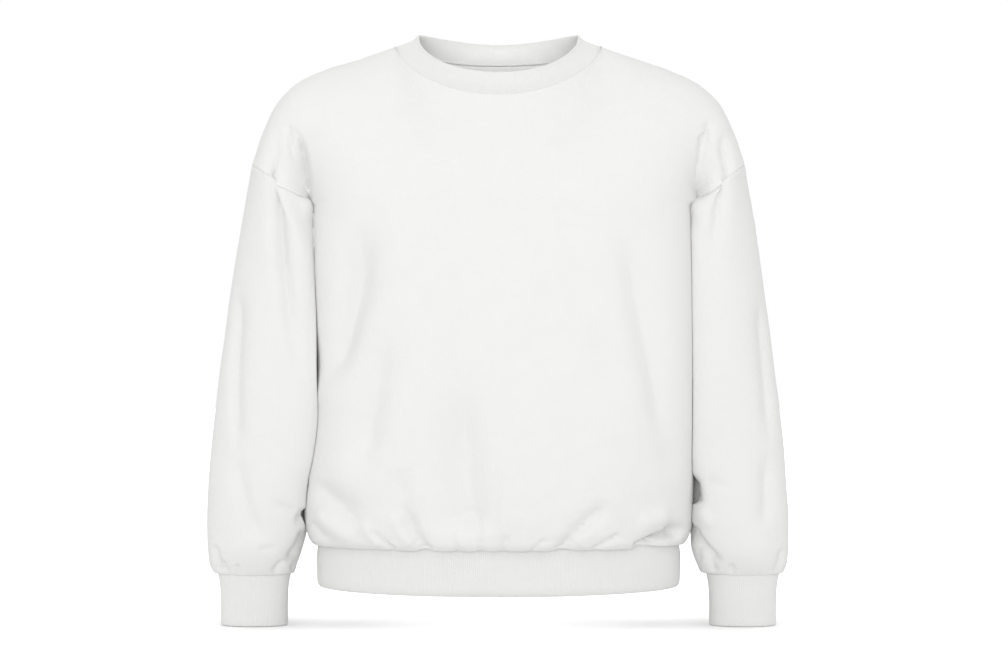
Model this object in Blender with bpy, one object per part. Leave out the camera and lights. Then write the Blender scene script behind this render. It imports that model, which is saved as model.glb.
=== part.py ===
"""Crewneck sweatshirt, filled out as worn: eight sewn pieces of cloth, each a closed wall.

The body is a tube of smooth rings up to the underarms. Above them each column of the
panels is a Bezier curve that rises from the underarm ring to the shoulder seam or the
neck seam, and the outermost column is the armhole. Each sleeve starts on the armhole
and narrows, ring by ring, to its cuff. Creases and gathers are troughs pressed into
these surfaces along short paths.

Frame: X to the wearer's left, Y to the back, Z up, origin at the base of the neck.
Sizes below are in millimetres, and the meshes are in metres.
"""
from collections import namedtuple

import bpy
import numpy as np

MM = 0.001

# ---------------------------------------------------------------- sizes of the cloth
FLEECE_WALL = 2.0
RIB_WALL = 3.0
SEAM_GAP = 0.3
MITRE_LIMIT = 0.5       # a seam's wall never slants to more than twice its thickness
RIM_ORDER = (1.0, 0.37, 0.71)   # a direction no seam runs square to, which orders its points

# ---------------------------------------------------------------- body
# down: cloth below the underarm ring; right and left: half widths on each side;
# front and back: half depths; square: 2 is an ellipse, more is boxier.
Ring = namedtuple("Ring", "down z right left front back square")
BODY = (
    Ring(0, -186, 219.0, 227.5, 130.0, 122.0, 2.25),
    Ring(60, -246, 221.0, 231.0, 131.0, 122.0, 2.14),
    Ring(134, -320, 220.0, 232.0, 131.0, 121.0, 2.10),
    Ring(204, -390, 218.0, 232.0, 130.5, 120.5, 2.10),
    Ring(254, -440, 217.0, 232.0, 130.0, 120.0, 2.10),
    Ring(302, -488, 223.5, 232.5, 129.0, 119.0, 2.12),
    Ring(330, -516, 229.0, 233.0, 128.5, 118.5, 2.14),
    Ring(354, -540, 232.0, 233.0, 128.0, 118.5, 2.16),
    Ring(375, -561, 232.5, 232.5, 126.5, 118.0, 2.18),
    Ring(391, -576, 230.0, 230.0, 124.0, 116.0, 2.18),
    Ring(403, -586.5, 225.5, 225.5, 120.0, 113.0, 2.16),
    Ring(410, -590.5, 221.0, 221.0, 115.5, 110.5, 2.15),
    Ring(414, -589.5, 217.5, 217.5, 112.5, 108.0, 2.15),
)

# The shoulder seam, from the neck to the tip where the sleeve begins.
Shoulder = namedtuple("Shoulder", "along right left z")
SHOULDER = (
    Shoulder(0, 123, 122, 2),
    Shoulder(40, 161.5, 160.5, -9.6),
    Shoulder(88, 207, 203, -24.5),
    Shoulder(129, 243.5, 241, -43),
    Shoulder(155, 262.5, 261.5, -62),
    Shoulder(195, 280.5, 279.5, -97),
    Shoulder(239, 294, 294, -139),
)

# The neck seam: half width, and how far it dips and reaches in front and behind.
NECK_WIDE = 122.5
NECK_SIDE_Z = 2.0
NECK_DIP_CURVE = 1.25
Face = namedtuple("Face", "sign neck_reach neck_dip rib_reach rib_dip")
FRONT = Face(-1, 88.0, 65.0, 70.0, 50.5)
BACK = Face(+1, 80.0, 11.0, 62.0, 5.0)
NECK_SHARE = 0.42       # share of a half panel's columns that end on the neck seam

# A half ring of Bezier form swells to 3/4 of how far its handles reach.
HANDLE_REACH = 4 / 3

# How each column of the yoke leaves the underarm ring (push forward, rise) and meets
# the seam above (reach forward, drop), from the middle (0) to the armhole (1).
Column = namedtuple("Column", "across push rise reach drop")
Handle = namedtuple("Handle", "across x y z")
ARMHOLE_REACH = 84 * HANDLE_REACH
YOKE = {
    FRONT: (
        Column(0.00, 0, 46, 12, 40),
        Column(0.20, 0, 48, 22, 38),
        Column(0.42, 2, 58, 48, 12),
        Column(0.55, 4, 62, 66, 3),
        Column(0.70, 10, 60, 80, 0),
        Column(0.82, 24, 48, 92, 0),
        Column(0.92, 64, 24, 104, 0),
        Column(1.00, ARMHOLE_REACH, 0, ARMHOLE_REACH, 0),
    ),
    BACK: (
        Column(0.00, 0, 62, 34, 24),
        Column(0.20, 0, 62, 40, 22),
        Column(0.42, 2, 62, 60, 10),
        Column(0.55, 4, 62, 76, 3),
        Column(0.70, 10, 60, 88, 0),
        Column(0.82, 24, 48, 96, 0),
        Column(0.92, 64, 24, 106, 0),
        Column(1.00, ARMHOLE_REACH, 0, ARMHOLE_REACH, 0),
    ),
}

# ---------------------------------------------------------------- sleeves and cuffs
# down: cloth below the shoulder tip; in_ and out_: the lines nearest the body and
# farthest from it, where y is how far back they lie; front and back: how far each ring
# reaches. Where a ring runs into the body's side it is pressed flat along it.
Sleeve = namedtuple("Sleeve", "down in_right in_left in_y in_z out_right out_left out_y out_z "
                              "front back")
SLEEVE = (
    Sleeve(0, 219.0, 227.5, 0, -186, 294.0, 294.0, 0, -139, 84, 84),
    Sleeve(46, 215.0, 223.5, -20, -222, 302.5, 302.5, -2, -184, 80, 79),
    Sleeve(96, 212.0, 221.0, -25, -264, 311.5, 310.5, -3, -234, 76, 73),
    Sleeve(168, 208.5, 219.0, -25, -326, 322.5, 320.5, -5, -305, 71, 67),
    Sleeve(243, 207.0, 219.5, -25, -391, 332.5, 330.0, -6, -380, 67, 63),
    Sleeve(316, 207.0, 223.0, -24, -456, 341.0, 338.5, -7, -452, 63, 60),
    Sleeve(358, 215.0, 223.5, -24, -497, 345.2, 342.8, -7, -496, 60, 57.5),
    Sleeve(384, 219.5, 226.0, -20, -520, 347.0, 344.5, -7, -520, 59, 56),
    Sleeve(433, 226.0, 228.0, -14, -568, 348.6, 346.4, -8, -569, 55, 50),
    Sleeve(467, 235.5, 236.0, -8, -601, 347.5, 346.0, -8, -603, 49, 43),
    Sleeve(484, 241.0, 241.5, -8, -617, 345.0, 344.0, -8, -618, 41, 34),
    Sleeve(494, 244.5, 244.8, -8, -625.5, 340.0, 339.5, -8, -626, 35, 24),
    Sleeve(499, 248.5, 248.5, -8, -627, 335.5, 335.5, -8, -627, 33, 17),
)
REST_GAP = 2.4          # cloth of a sleeve that rests on the body stays this clear of it
REST_SOFTNESS = 3.0     # how gently its ring turns from round to flat there
BODY_LOWEST_REST = -587.0

Cuff = namedtuple("Cuff", "down wide deep")
CUFF = (
    Cuff(0, 43.5, 25.5),
    Cuff(12, 41.2, 24.2),
    Cuff(30, 40.2, 23.5),
    Cuff(61, 39.8, 23.3),
)
CUFF_X = 292.0
HEM_RIB_TALL = 53.5
NECK_RIB_SIDE = (97.0, 17.0)    # half width and height of the neckband's top edge
NECK_RIB_BOW = 3.5              # how far the neckband's face sinks between its edges

# ---------------------------------------------------------------- creases and gathers
# Troughs on the front or the back, as seen square on: three points that the path runs
# through, its half width, its depth (a negative one is a ridge), and the shares of its
# length over which it fades in and out.
Trough = namedtuple("Trough", "x0 z0 x1 z1 x2 z2 half depth fade_in fade_out")
YOKE_AND_SLEEVE_FRONT = (
    # the fold where the chest turns into the sleeve, and the crease beside it
    Trough(-232, -98, -225, -136, -221, -176, 10, 10, 0.5, 0.2),
    Trough(242, -98, 233, -136, 229, -176, 10, 10, 0.5, 0.2),
    Trough(-258, -118, -252, -205, -226, -362, 11, 9, 0.2, 0.5),
    Trough(262, -118, 259, -185, 242, -295, 11, 9, 0.2, 0.5),
)
YOKE_AND_SLEEVE_BACK = (
    Trough(-234, -106, -227, -144, -222, -178, 10, 9, 0.5, 0.2),
    Trough(242, -102, 235, -142, 230, -178, 10, 9, 0.5, 0.2),
    Trough(-262, -122, -256, -210, -238, -335, 12, 8, 0.2, 0.5),
    Trough(264, -116, 262, -200, 246, -322, 12, 8, 0.2, 0.5),
)
BODY_FRONT = (
    Trough(-130, -212, -168, -304, -204, -425, 18, 8, 0.3, 0.3),
    Trough(126, -212, 152, -304, 206, -465, 18, 8, 0.3, 0.3),
    Trough(-34, -385, -26, -466, -20, -560, 15, 4, 0.4, 0.1),
    Trough(-121, -320, -133, -400, -146, -490, 16, 4, 0.4, 0.4),
    Trough(-200, -522, -180, -544, -154, -566, 15, 6, 0.3, 0.3),
    Trough(62, -420, 70, -480, 66, -540, 18, 3, 0.4, 0.4),
)
BODY_BACK = (
    Trough(-112, -196, -158, -300, -203, -430, 19, 8, 0.3, 0.3),
    Trough(122, -206, 160, -310, 206, -440, 19, 8, 0.3, 0.3),
    Trough(40, -380, 30, -470, 36, -560, 16, 4, 0.4, 0.1),
    Trough(-88, -330, -104, -420, -112, -500, 16, 4, 0.4, 0.4),
    Trough(196, -520, 176, -544, 150, -566, 15, 6, 0.3, 0.3),
)
SLEEVES_FRONT = (
    Trough(-320, -445, -309, -514, -278, -600, 13, 6, 0.4, 0.2),
    Trough(-270, -538, -246, -550, -230, -562, 9, 4, 0.4, 0.2),
    Trough(312, -440, 317, -500, 304, -575, 13, 5, 0.4, 0.3),
)
SLEEVES_BACK = (
    Trough(-300, -430, -312, -510, -286, -596, 13, 6, 0.4, 0.2),
    Trough(304, -420, 314, -505, 288, -592, 13, 6, 0.4, 0.2),
)
FACE_FADE = 24.0        # a trough fades out over this depth towards the side seams
ARMPIT_FADE = 56.0      # and one that crosses the armhole over this depth
ARMHOLE_FADE = 30.0     # body and sleeve troughs fade over this length at the armhole
HALF_PANEL = 380.0      # rough length of a half panel's edge from the middle to the armhole

# Gathers where fleece meets rib. at: how far round, 0 and 1 at the wearer's right side
# of the body or the outside of the sleeve, running round by the front; slant: how far
# the trough wanders round as it rises by its full height.
Gather = namedtuple("Gather", "at tall half depth slant")
HEM_GATHERS = (
    Gather(0.012, 30, 8, 4.0, 6), Gather(0.058, 44, 9, 5.0, -16),
    Gather(0.105, 32, 8, 4.0, -14), Gather(0.139, 36, 8, 5.5, -20),
    Gather(0.176, 30, 8, 5.5, -15), Gather(0.212, 20, 7, 3.0, -4),
    Gather(0.238, 38, 8, 4.0, -6), Gather(0.284, 24, 8, 4.0, 16),
    Gather(0.320, 44, 9, 6.0, 26), Gather(0.358, 22, 8, 4.0, 18),
    Gather(0.402, 30, 9, 6.0, 30), Gather(0.463, 34, 8, 4.0, 10),
    Gather(0.508, 30, 8, 4.0, -6), Gather(0.556, 40, 9, 5.0, -18),
    Gather(0.598, 30, 8, 4.0, -14), Gather(0.640, 38, 8, 5.0, -18),
    Gather(0.684, 26, 8, 4.0, -8), Gather(0.727, 42, 9, 5.0, 6),
    Gather(0.770, 30, 8, 4.5, 10), Gather(0.815, 38, 9, 5.5, 18),
    Gather(0.860, 28, 8, 4.0, 14), Gather(0.912, 40, 9, 5.0, 20),
    Gather(0.958, 30, 8, 4.0, 8),
)
CUFF_GATHERS = (
    Gather(0.045, 22, 6, 3.0, 3), Gather(0.140, 18, 6, 3.0, 4),
    Gather(0.300, 34, 7, 5.0, 20), Gather(0.420, 42, 7, 5.0, 26),
    Gather(0.560, 26, 7, 4.0, -6), Gather(0.700, 32, 7, 4.0, 8),
    Gather(0.850, 26, 7, 4.0, -8),
)
GATHER_FROM = 4.0       # a gather starts this far above the seam
GATHER_GROWS = 12.0     # and reaches its depth over this much more
GATHER_FADE = 0.7       # the top share of its height over which it fades

# ---------------------------------------------------------------- fineness of the mesh
HALF_COLUMNS = 21       # columns from the middle of a panel to its armhole
NECK_COLUMNS = 8        # of which end on the neck seam
YOKE_ROWS = 11          # also the columns on each half of a sleeve
BODY_ROWS = (414, 410, 404, 396, 385, 370, 350, 322, 285, 240, 190, 140, 90, 42)
SLEEVE_ROWS = (499, 494, 486, 474, 456, 430, 396, 354, 306, 256, 206, 158, 114, 76, 44, 20)
COLUMN_SAMPLES = 49     # points at which a Bezier column is measured

# ---------------------------------------------------------------- finishes
FLEECE_WHITE = (0.90, 0.90, 0.885, 1.0)
RIB_WHITE = (0.88, 0.88, 0.865, 1.0)
FLEECE_ROUGHNESS = 0.92
RIB_ROUGHNESS = 0.88


# ================================================================ reading the tables
def read(table, at):
    """Read every column of a table, on smooth curves, at places on its first column."""
    rows = np.array(table, float)
    stations, values = rows[:, 0], rows[:, 1:]
    at = np.clip(np.asarray(at, float), stations[0], stations[-1])
    steps = np.diff(stations)[:, None]
    slopes = np.diff(values, axis=0) / steps
    inner = (slopes[1:] * steps[:-1] + slopes[:-1] * steps[1:]) / (steps[1:] + steps[:-1])
    tangents = np.concatenate([slopes[:1], inner, slopes[-1:]])
    i = np.clip(np.searchsorted(stations, at) - 1, 0, len(steps) - 1)
    step = steps[i]
    t = ((at - stations[i])[..., None]) / step
    result = ((1 + 2 * t) * (1 - t) ** 2 * values[i] + t * (1 - t) ** 2 * step * tangents[i]
              + t ** 2 * (3 - 2 * t) * values[i + 1] - t ** 2 * (1 - t) * step * tangents[i + 1])
    return type(table[0])(at, *np.moveaxis(result, -1, 0))


def ease(value):
    """Rise smoothly from 0 to 1 as the value does."""
    value = np.clip(value, 0, 1)
    return value * value * (3 - 2 * value)


def unit(vectors):
    return vectors / np.maximum(np.linalg.norm(vectors, axis=-1, keepdims=True), 1e-9)


def bezier(t, a, b, c, d):
    return (1 - t) ** 3 * a + 3 * t * (1 - t) ** 2 * b + 3 * t ** 2 * (1 - t) * c + t ** 3 * d


def evenly(curves, shares):
    """Pick points at even shares of each curve's length; curves run along the first axis."""
    lengths = np.linalg.norm(np.diff(curves, axis=0), axis=-1)
    run = np.concatenate([np.zeros((1,) + lengths.shape[1:]), np.cumsum(lengths, axis=0)])
    picked = np.empty((len(shares),) + curves.shape[1:])
    for j in range(curves.shape[1]):
        for axis in range(3):
            picked[:, j, axis] = np.interp(shares * run[-1, j], run[:, j], curves[:, j, axis])
    return picked


# ================================================================ surfaces
def even_angles(across):
    """Angles round half a ring, 90 degrees at the middle, that space its points evenly."""
    ring = read(BODY, 0.0)
    angles = np.radians(np.linspace(90, 0, 181))
    x = ring.left * np.cos(angles) ** (2 / ring.square)
    y = ring.front * np.sin(angles) ** (2 / ring.square)
    run = np.concatenate([[0], np.cumsum(np.hypot(np.diff(x), np.diff(y)))])
    return np.interp(np.abs(across) * run[-1], run, angles)


def body_points(down, across, face):
    """Points of the body's tube: across is -1 at the right side seam, 1 at the left."""
    ring = read(BODY, down)
    angles = even_angles(across)
    wide = np.where(across < 0, ring.right, ring.left)
    deep = ring.front if face is FRONT else ring.back
    x = np.sign(across) * wide * np.cos(angles) ** (2 / ring.square)
    y = face.sign * deep * np.sin(angles) ** (2 / ring.square)
    return np.stack(np.broadcast_arrays(x, y, ring.z), axis=-1)


def top_edge(across, face):
    """The neck seam over the middle of a panel, then the shoulder seam to its tip."""
    share = np.abs(across)
    turn = np.radians(90) * (1 - np.minimum(share / NECK_SHARE, 1))
    along = np.maximum(share - NECK_SHARE, 0) / (1 - NECK_SHARE) * SHOULDER[-1].along
    seam = read(SHOULDER, along)
    on_neck = share < NECK_SHARE
    x = np.where(on_neck, NECK_WIDE * np.cos(turn), np.where(across < 0, seam.right, seam.left))
    y = face.sign * face.neck_reach * np.sin(turn)
    dip = face.neck_dip * np.sin(turn) ** NECK_DIP_CURVE
    z = np.where(on_neck, NECK_SIDE_Z - dip, seam.z)
    return np.stack([np.sign(across) * x, y, z], axis=-1)


def upper_handles(across, face):
    """The curve on which the columns bend under the seam above, smooth past its corners."""
    rows = YOKE[face]
    rows = [row._replace(across=-row.across) for row in rows[:0:-1]] + list(rows)
    stations = np.array([row.across for row in rows])
    corner = top_edge(stations, face)
    table = [Handle(place, x, y + face.sign * row.reach, z - row.drop)
             for row, place, (x, y, z) in zip(rows, stations, corner)]
    handle = read(table, across)
    return np.stack([handle.x, handle.y, handle.z], axis=-1)


def yoke_points(shares, across, face):
    """Points above the underarms, at shares of each column's length from the bottom."""
    start = body_points(0.0, across, face)
    upward = unit(start - body_points(6.0, across, face))
    end = top_edge(across, face)
    column = read(YOKE[face], np.abs(across))
    outward = np.array([0, face.sign, 0])
    low = start + outward * column.push[:, None] + upward * column.rise[:, None]
    high = upper_handles(across, face)
    t = np.linspace(0, 1, COLUMN_SAMPLES)[:, None, None]
    return evenly(bezier(t, start, low, high, end), shares)


def half_ring(inner, outer, reach):
    """Half of a sleeve's ring, from its inner to its outer line, of the armhole's form."""
    swell = np.stack([np.zeros_like(reach), reach, np.zeros_like(reach)], axis=-1)
    t = np.linspace(0, 1, COLUMN_SAMPLES)[:, None, None]
    return bezier(t, inner, inner + swell, outer + swell, outer)


def ring_from_halves(inner, outer, front, back, side, columns):
    """A closed ring run by the front first, with the given columns on each half."""
    shares = np.linspace(0, 1, columns + 1)
    ahead = evenly(half_ring(inner, outer, -front * HANDLE_REACH), shares)
    behind = evenly(half_ring(inner, outer, back * HANDLE_REACH), shares)
    if side < 0:
        ahead, behind = ahead[::-1], behind[::-1]
    return np.swapaxes(np.concatenate([ahead[:-1], behind[::-1][:-1]]), 0, 1)


def sleeve_points(down, side, columns):
    ring = read(SLEEVE, down)
    in_x, out_x = (ring.in_right, ring.out_right) if side < 0 else (ring.in_left, ring.out_left)
    inner = np.stack([side * in_x, ring.in_y, ring.in_z], axis=-1)
    outer = np.stack([side * out_x, ring.out_y, ring.out_z], axis=-1)
    middle = (ring.in_y + ring.out_y) / 2
    points = ring_from_halves(inner, outer, ring.front + middle, ring.back - middle, side,
                              columns)
    return rest_on_body(points, side)


def rest_on_body(points, side):
    """Press a sleeve flat where it lies against the body, just clear of it."""
    x, y, z = np.moveaxis(points, -1, 0)
    hanging = [row for row in BODY if row.z > BODY_LOWEST_REST]
    down = np.interp(-z, [-row.z for row in hanging], [row.down for row in hanging])
    ring = read(BODY, down)
    wide = (ring.right if side < 0 else ring.left) + REST_GAP
    deep = np.where(y < 0, ring.front, ring.back) + REST_GAP
    edge = wide * (1 - np.minimum(np.abs(y) / deep, 1) ** ring.square) ** (1 / ring.square)
    away = side * x - edge
    pressed = edge + (away + np.hypot(away, REST_SOFTNESS)) / 2
    below = ease((BODY[0].z - z) / (2 * REST_SOFTNESS))
    x = side * (side * x + (pressed - side * x) * below)
    return np.stack([x, y, z], axis=-1)


def cuff_points(down, side, columns):
    ring = read(CUFF, down)
    seam = SLEEVE[-1]
    z = seam.in_z - ring.down
    inner = np.stack([side * (CUFF_X - ring.wide), np.full_like(z, seam.in_y), z], axis=-1)
    outer = np.stack([side * (CUFF_X + ring.wide), np.full_like(z, seam.in_y), z], axis=-1)
    return ring_from_halves(inner, outer, ring.deep, ring.deep, side, columns)


def neck_rib_points(shares, seam):
    """Rows from the neck seam to the top edge; the seam's points run round by the front."""
    wide, side_z = NECK_RIB_SIDE
    reach = np.where(seam[:, 1] < 0, FRONT.neck_reach, BACK.neck_reach)
    top_reach = np.where(seam[:, 1] < 0, FRONT.rib_reach, BACK.rib_reach)
    top_dip = np.where(seam[:, 1] < 0, FRONT.rib_dip, BACK.rib_dip)
    depth = np.abs(seam[:, 1]) / reach
    top = np.stack([seam[:, 0] / NECK_WIDE * wide, np.sign(seam[:, 1]) * depth * top_reach,
                    side_z - top_dip * depth ** NECK_DIP_CURVE], axis=-1)
    t = np.asarray(shares, float)[:, None, None]
    inward = unit(seam * np.array([-1, -1, 0]))
    bow = 4 * t * (1 - t) * NECK_RIB_BOW * inward
    return seam + (top - seam) * t + bow


# ================================================================ creases
def trough_depths(troughs, x, z):
    """How deep a set of troughs is at each place of a front or back view."""
    total = np.zeros_like(x)
    for row in troughs:
        start, middle, end = np.array([row.x0, row.z0]), np.array([row.x1, row.z1]), \
            np.array([row.x2, row.z2])
        t = np.linspace(0, 1, 9)[:, None]
        path = (1 - t) ** 2 * start + 2 * t * (1 - t) * (2 * middle - (start + end) / 2) \
            + t ** 2 * end
        nearest, share = np.full_like(x, np.inf), np.zeros_like(x)
        for i in range(len(path) - 1):
            leg = path[i + 1] - path[i]
            along = np.clip(((x - path[i, 0]) * leg[0] + (z - path[i, 1]) * leg[1])
                            / (leg @ leg), 0, 1)
            away = np.hypot(x - path[i, 0] - along * leg[0], z - path[i, 1] - along * leg[1])
            closer = away < nearest
            nearest = np.where(closer, away, nearest)
            share = np.where(closer, (i + along) / (len(path) - 1), share)
        fade = np.ones_like(x)
        if row.fade_in:
            fade = fade * ease(share / row.fade_in)
        if row.fade_out:
            fade = fade * ease((1 - share) / row.fade_out)
        total += row.depth * fade * np.exp(-(nearest / row.half) ** 2)
    return total


def faced_depths(points, front_troughs, back_troughs, fade):
    """Troughs of the front where a point is in front, of the back where it is behind."""
    x, y, z = np.moveaxis(points, -1, 0)
    return (ease(-y / fade) * trough_depths(front_troughs, x, z)
            + ease(y / fade) * trough_depths(back_troughs, x, z))


def gather_depths(gathers, at, girth, height):
    """Gathers round a seam: at is the share round the ring, height is above the seam."""
    total = np.zeros(np.broadcast(at, height).shape)
    for row in gathers:
        rise = height / row.tall
        away = (at - row.at + 0.5) % 1 - 0.5
        away = away * girth - row.slant * np.clip(rise, 0, 1)
        grow = ease((height - GATHER_FROM) / GATHER_GROWS) * ease((1 - rise) / GATHER_FADE)
        total += row.depth * grow * np.exp(-(away / row.half) ** 2)
    return total


# ================================================================ sewn pieces
class Piece:
    """A grid of points on a piece's outer face: rows go up, columns run round by the front."""

    def __init__(self, name, points, wall, closed=False):
        self.name = name
        self.points = points
        self.wall = wall
        self.closed = closed
        self.measure()

    def index(self):
        """The numbers of the grid's points; a ring's first column comes again at its end."""
        rows, columns = self.points.shape[:2]
        index = np.arange(rows * columns).reshape(rows, columns)
        return np.concatenate([index, index[:, :1]], axis=1) if self.closed else index

    def borders(self):
        """Loops of point numbers round the piece, which lies on their left."""
        index = self.index()
        if self.closed:
            return index[0, :-1], index[-1, :-1][::-1]
        return (np.concatenate([index[0, :-1], index[:-1, -1], index[-1, :0:-1],
                                index[:0:-1, 0]]),)

    def measure(self):
        """Sum the faces' normals at each point, weighed by their angles there."""
        index = self.index()
        corners = [index[:-1, :-1], index[:-1, 1:], index[1:, 1:], index[1:, :-1]]
        points = self.points.reshape(-1, 3)
        self.weighted = np.zeros_like(points)
        for i in range(4):
            here, after, before = (points[corners[(i + k) % 4]] for k in (0, 1, 3))
            ahead, behind = unit(after - here), unit(before - here)
            angle = np.arccos(np.clip(np.sum(ahead * behind, axis=-1), -1, 1))
            np.add.at(self.weighted, corners[i],
                      unit(np.cross(ahead, behind)) * angle[..., None])
        self.own = unit(self.weighted)
        self.normals = self.own.copy()
        self.mitre = np.ones(len(points))

    def press(self, depths):
        """Press the surface in by the depths given for its points."""
        self.points = self.points - (self.normals * depths.reshape(-1, 1)).reshape(
            self.points.shape)

    def gap_shift(self, sewn):
        """Draw the sewn points back from their seams by half of the gap."""
        points = self.points.reshape(-1, 3)
        shift = np.zeros_like(points)
        for loop in self.borders():
            line, normal = points[loop], self.own[loop]
            onward = np.roll(line, -1, axis=0) - line
            after = unit(np.cross(normal, onward))
            before = unit(np.cross(normal, np.roll(onward, 1, axis=0)))
            spread = 1 + np.sum(after * before, axis=-1, keepdims=True)
            shift[loop] = (after + before) / np.maximum(spread, MITRE_LIMIT) * SEAM_GAP / 2
        return shift * sewn[:, None]

    def walls(self, sewn):
        """The outer points and the inner ones, a wall's thickness inside them."""
        outer = self.points.reshape(-1, 3) + self.gap_shift(sewn)
        wall = np.where(sewn > 0, FLEECE_WALL, self.wall) * self.mitre
        return outer, outer - self.normals * wall[:, None]


def find_seams(pieces):
    """Sets of (piece, point number) that lie at one place, where pieces are sewn."""
    places = {}
    for piece in pieces:
        points = piece.points.reshape(-1, 3)
        for loop in piece.borders():
            for number in loop:
                key = tuple(int(v) for v in np.round(points[number] * 100))
                places.setdefault(key, []).append((piece, number))
    return [place for place in places.values() if len(place) > 1]


def set_normal(place, normal):
    """Give the points at one place of a seam one normal, and the mitre that goes with it."""
    lean = np.mean([piece.own[number] @ normal for piece, number in place])
    for piece, number in place:
        piece.normals[number] = normal
        piece.mitre[number] = 1 / max(lean, MITRE_LIMIT)


def share_normals(seams, sleeves):
    """Share normals at each seam, so walls meet face to face, and even them at armholes.

    The corners, where three pieces meet, keep their own.
    """
    for place in seams:
        set_normal(place, unit(sum(piece.weighted[number] for piece, number in place)))
    for arm in sleeves:
        places = {number: place for place in seams for piece, number in place if piece is arm}
        armhole = arm.index()[-1, :-1]
        normals = arm.normals[armhole]
        beside = np.roll(normals, 1, axis=0) + np.roll(normals, -1, axis=0)
        for number, normal in zip(armhole, unit(normals + beside)):
            if len(places[number]) == 2:
                set_normal(places[number], normal)


def share_depths(seams, depths):
    """Give the points of each seam one depth, the mean of what their pieces ask for."""
    for place in seams:
        mean = np.mean([depths[piece][number] for piece, number in place])
        for piece, number in place:
            depths[piece][number] = mean


def rim_faces(loop, outer):
    """Triangles along a wall's edge, split the same way on both sides of a seam."""
    count = len(outer)
    order = outer @ np.array(RIM_ORDER)
    faces = []
    for here, onward in zip(loop, np.roll(loop, -1)):
        if order[here] < order[onward]:
            faces += [(onward, here, onward + count), (here, here + count, onward + count)]
        else:
            faces += [(onward, here, here + count), (onward, here + count, onward + count)]
    return faces


def wall_object(piece, seams, collection, material):
    """Make a piece's object: outer face, inner face and the rims that close them."""
    sewn = np.zeros(piece.points[..., 0].size)
    sewn[[number for place in seams for owner, number in place if owner is piece]] = 1
    outer, inner = piece.walls(sewn)
    index = piece.index()
    corners = [index[:-1, :-1], index[:-1, 1:], index[1:, 1:], index[1:, :-1]]
    face = np.stack([corner.ravel() for corner in corners], axis=-1)
    faces = [face, face[:, ::-1] + len(outer)]
    faces = np.concatenate(faces).tolist()
    for loop in piece.borders():
        faces += rim_faces(loop, outer)
    mesh = bpy.data.meshes.new(piece.name)
    points = np.concatenate([outer, inner]) * MM
    mesh.from_pydata(points.tolist(), [], faces)
    mesh.materials.append(material)
    mesh.shade_smooth()
    made = bpy.data.objects.new(piece.name, mesh)
    collection.objects.link(made)
    return made


# ================================================================ the garment
ROWS_BELOW = len(BODY_ROWS)
SLEEVE_RING = 2 * YOKE_ROWS


def columns_across():
    """Column places from the right armhole to the left: even over the neck and beyond."""
    neck = np.linspace(0, NECK_SHARE, NECK_COLUMNS + 1)
    shoulder = np.linspace(NECK_SHARE, 1, HALF_COLUMNS - NECK_COLUMNS + 1)[1:]
    half = np.concatenate([neck, shoulder])
    return np.concatenate([-half[:0:-1], half])


def panel(name, face):
    """A body panel: rows of the tube below the underarms, then the yoke's columns."""
    across = columns_across() * -face.sign
    down = np.array(BODY_ROWS, float)[:, None]
    below = body_points(down, across, face)
    above = yoke_points(np.linspace(0, 1, YOKE_ROWS + 1), across, face)
    piece = Piece(name, np.concatenate([below, above]), FLEECE_WALL)
    piece.across = across
    piece.face = face
    return piece


def body_depths(piece):
    """Creases of a body panel and the gathers above the hem band."""
    points = piece.points
    rows, columns = points.shape[:2]
    near_armhole = np.zeros((rows, columns))
    near_armhole[ROWS_BELOW:] = 1
    to_armhole = (1 - np.abs(piece.across)) * HALF_PANEL
    fade = np.where(near_armhole > 0, ease(to_armhole / ARMHOLE_FADE), 1)
    own = faced_depths(points, BODY_FRONT, BODY_BACK, FACE_FADE) * fade
    crossing = near_armhole * faced_depths(points, YOKE_AND_SLEEVE_FRONT,
                                           YOKE_AND_SLEEVE_BACK, ARMPIT_FADE)
    height = np.full((rows, 1), np.inf)
    height[:ROWS_BELOW, 0] = BODY[-1].down - np.array(BODY_ROWS)
    share = (piece.across * -piece.face.sign + 1) / 4
    at = share if piece.face is FRONT else 0.5 + share
    girth = np.sum(np.linalg.norm(np.diff(points[0], axis=0), axis=-1)) * 2
    gathers = gather_depths(HEM_GATHERS, at, girth, height)
    return own + crossing + gathers


def sleeve(name, side):
    down = np.append(np.array(SLEEVE_ROWS, float), 0.0)
    piece = Piece(name, sleeve_points(down, side, YOKE_ROWS), FLEECE_WALL, closed=True)
    piece.down = down[:, None]
    piece.side = side
    return piece


def sleeve_depths(piece):
    points = piece.points
    own = ease(piece.down / ARMHOLE_FADE) * faced_depths(points, SLEEVES_FRONT,
                                                         SLEEVES_BACK, FACE_FADE)
    crossing = faced_depths(points, YOKE_AND_SLEEVE_FRONT, YOKE_AND_SLEEVE_BACK, ARMPIT_FADE)
    at = np.arange(SLEEVE_RING) / SLEEVE_RING
    if piece.side > 0:
        at = (0.5 - at) % 1
    girth = np.sum(np.linalg.norm(np.diff(points[4], axis=0), axis=-1))
    gathers = gather_depths(CUFF_GATHERS, at, girth, SLEEVE[-1].down - piece.down)
    return own + crossing + gathers


def hem_rib(front, back):
    seam = np.concatenate([front.points[0, :-1], back.points[0, :-1]])
    rows = np.linspace(HEM_RIB_TALL, 0, 4)[:, None, None] * np.array([0, 0, -1.0])
    return Piece("hem_rib", seam + rows, RIB_WALL, closed=True)


def neck_rib(front, back):
    beyond_neck = HALF_COLUMNS - NECK_COLUMNS
    run = slice(beyond_neck, 2 * HALF_COLUMNS - beyond_neck)
    seam = np.concatenate([front.points[-1, run], back.points[-1, run]])
    return Piece("neck_rib", neck_rib_points(np.linspace(0, 1, 4), seam), RIB_WALL, closed=True)


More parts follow.
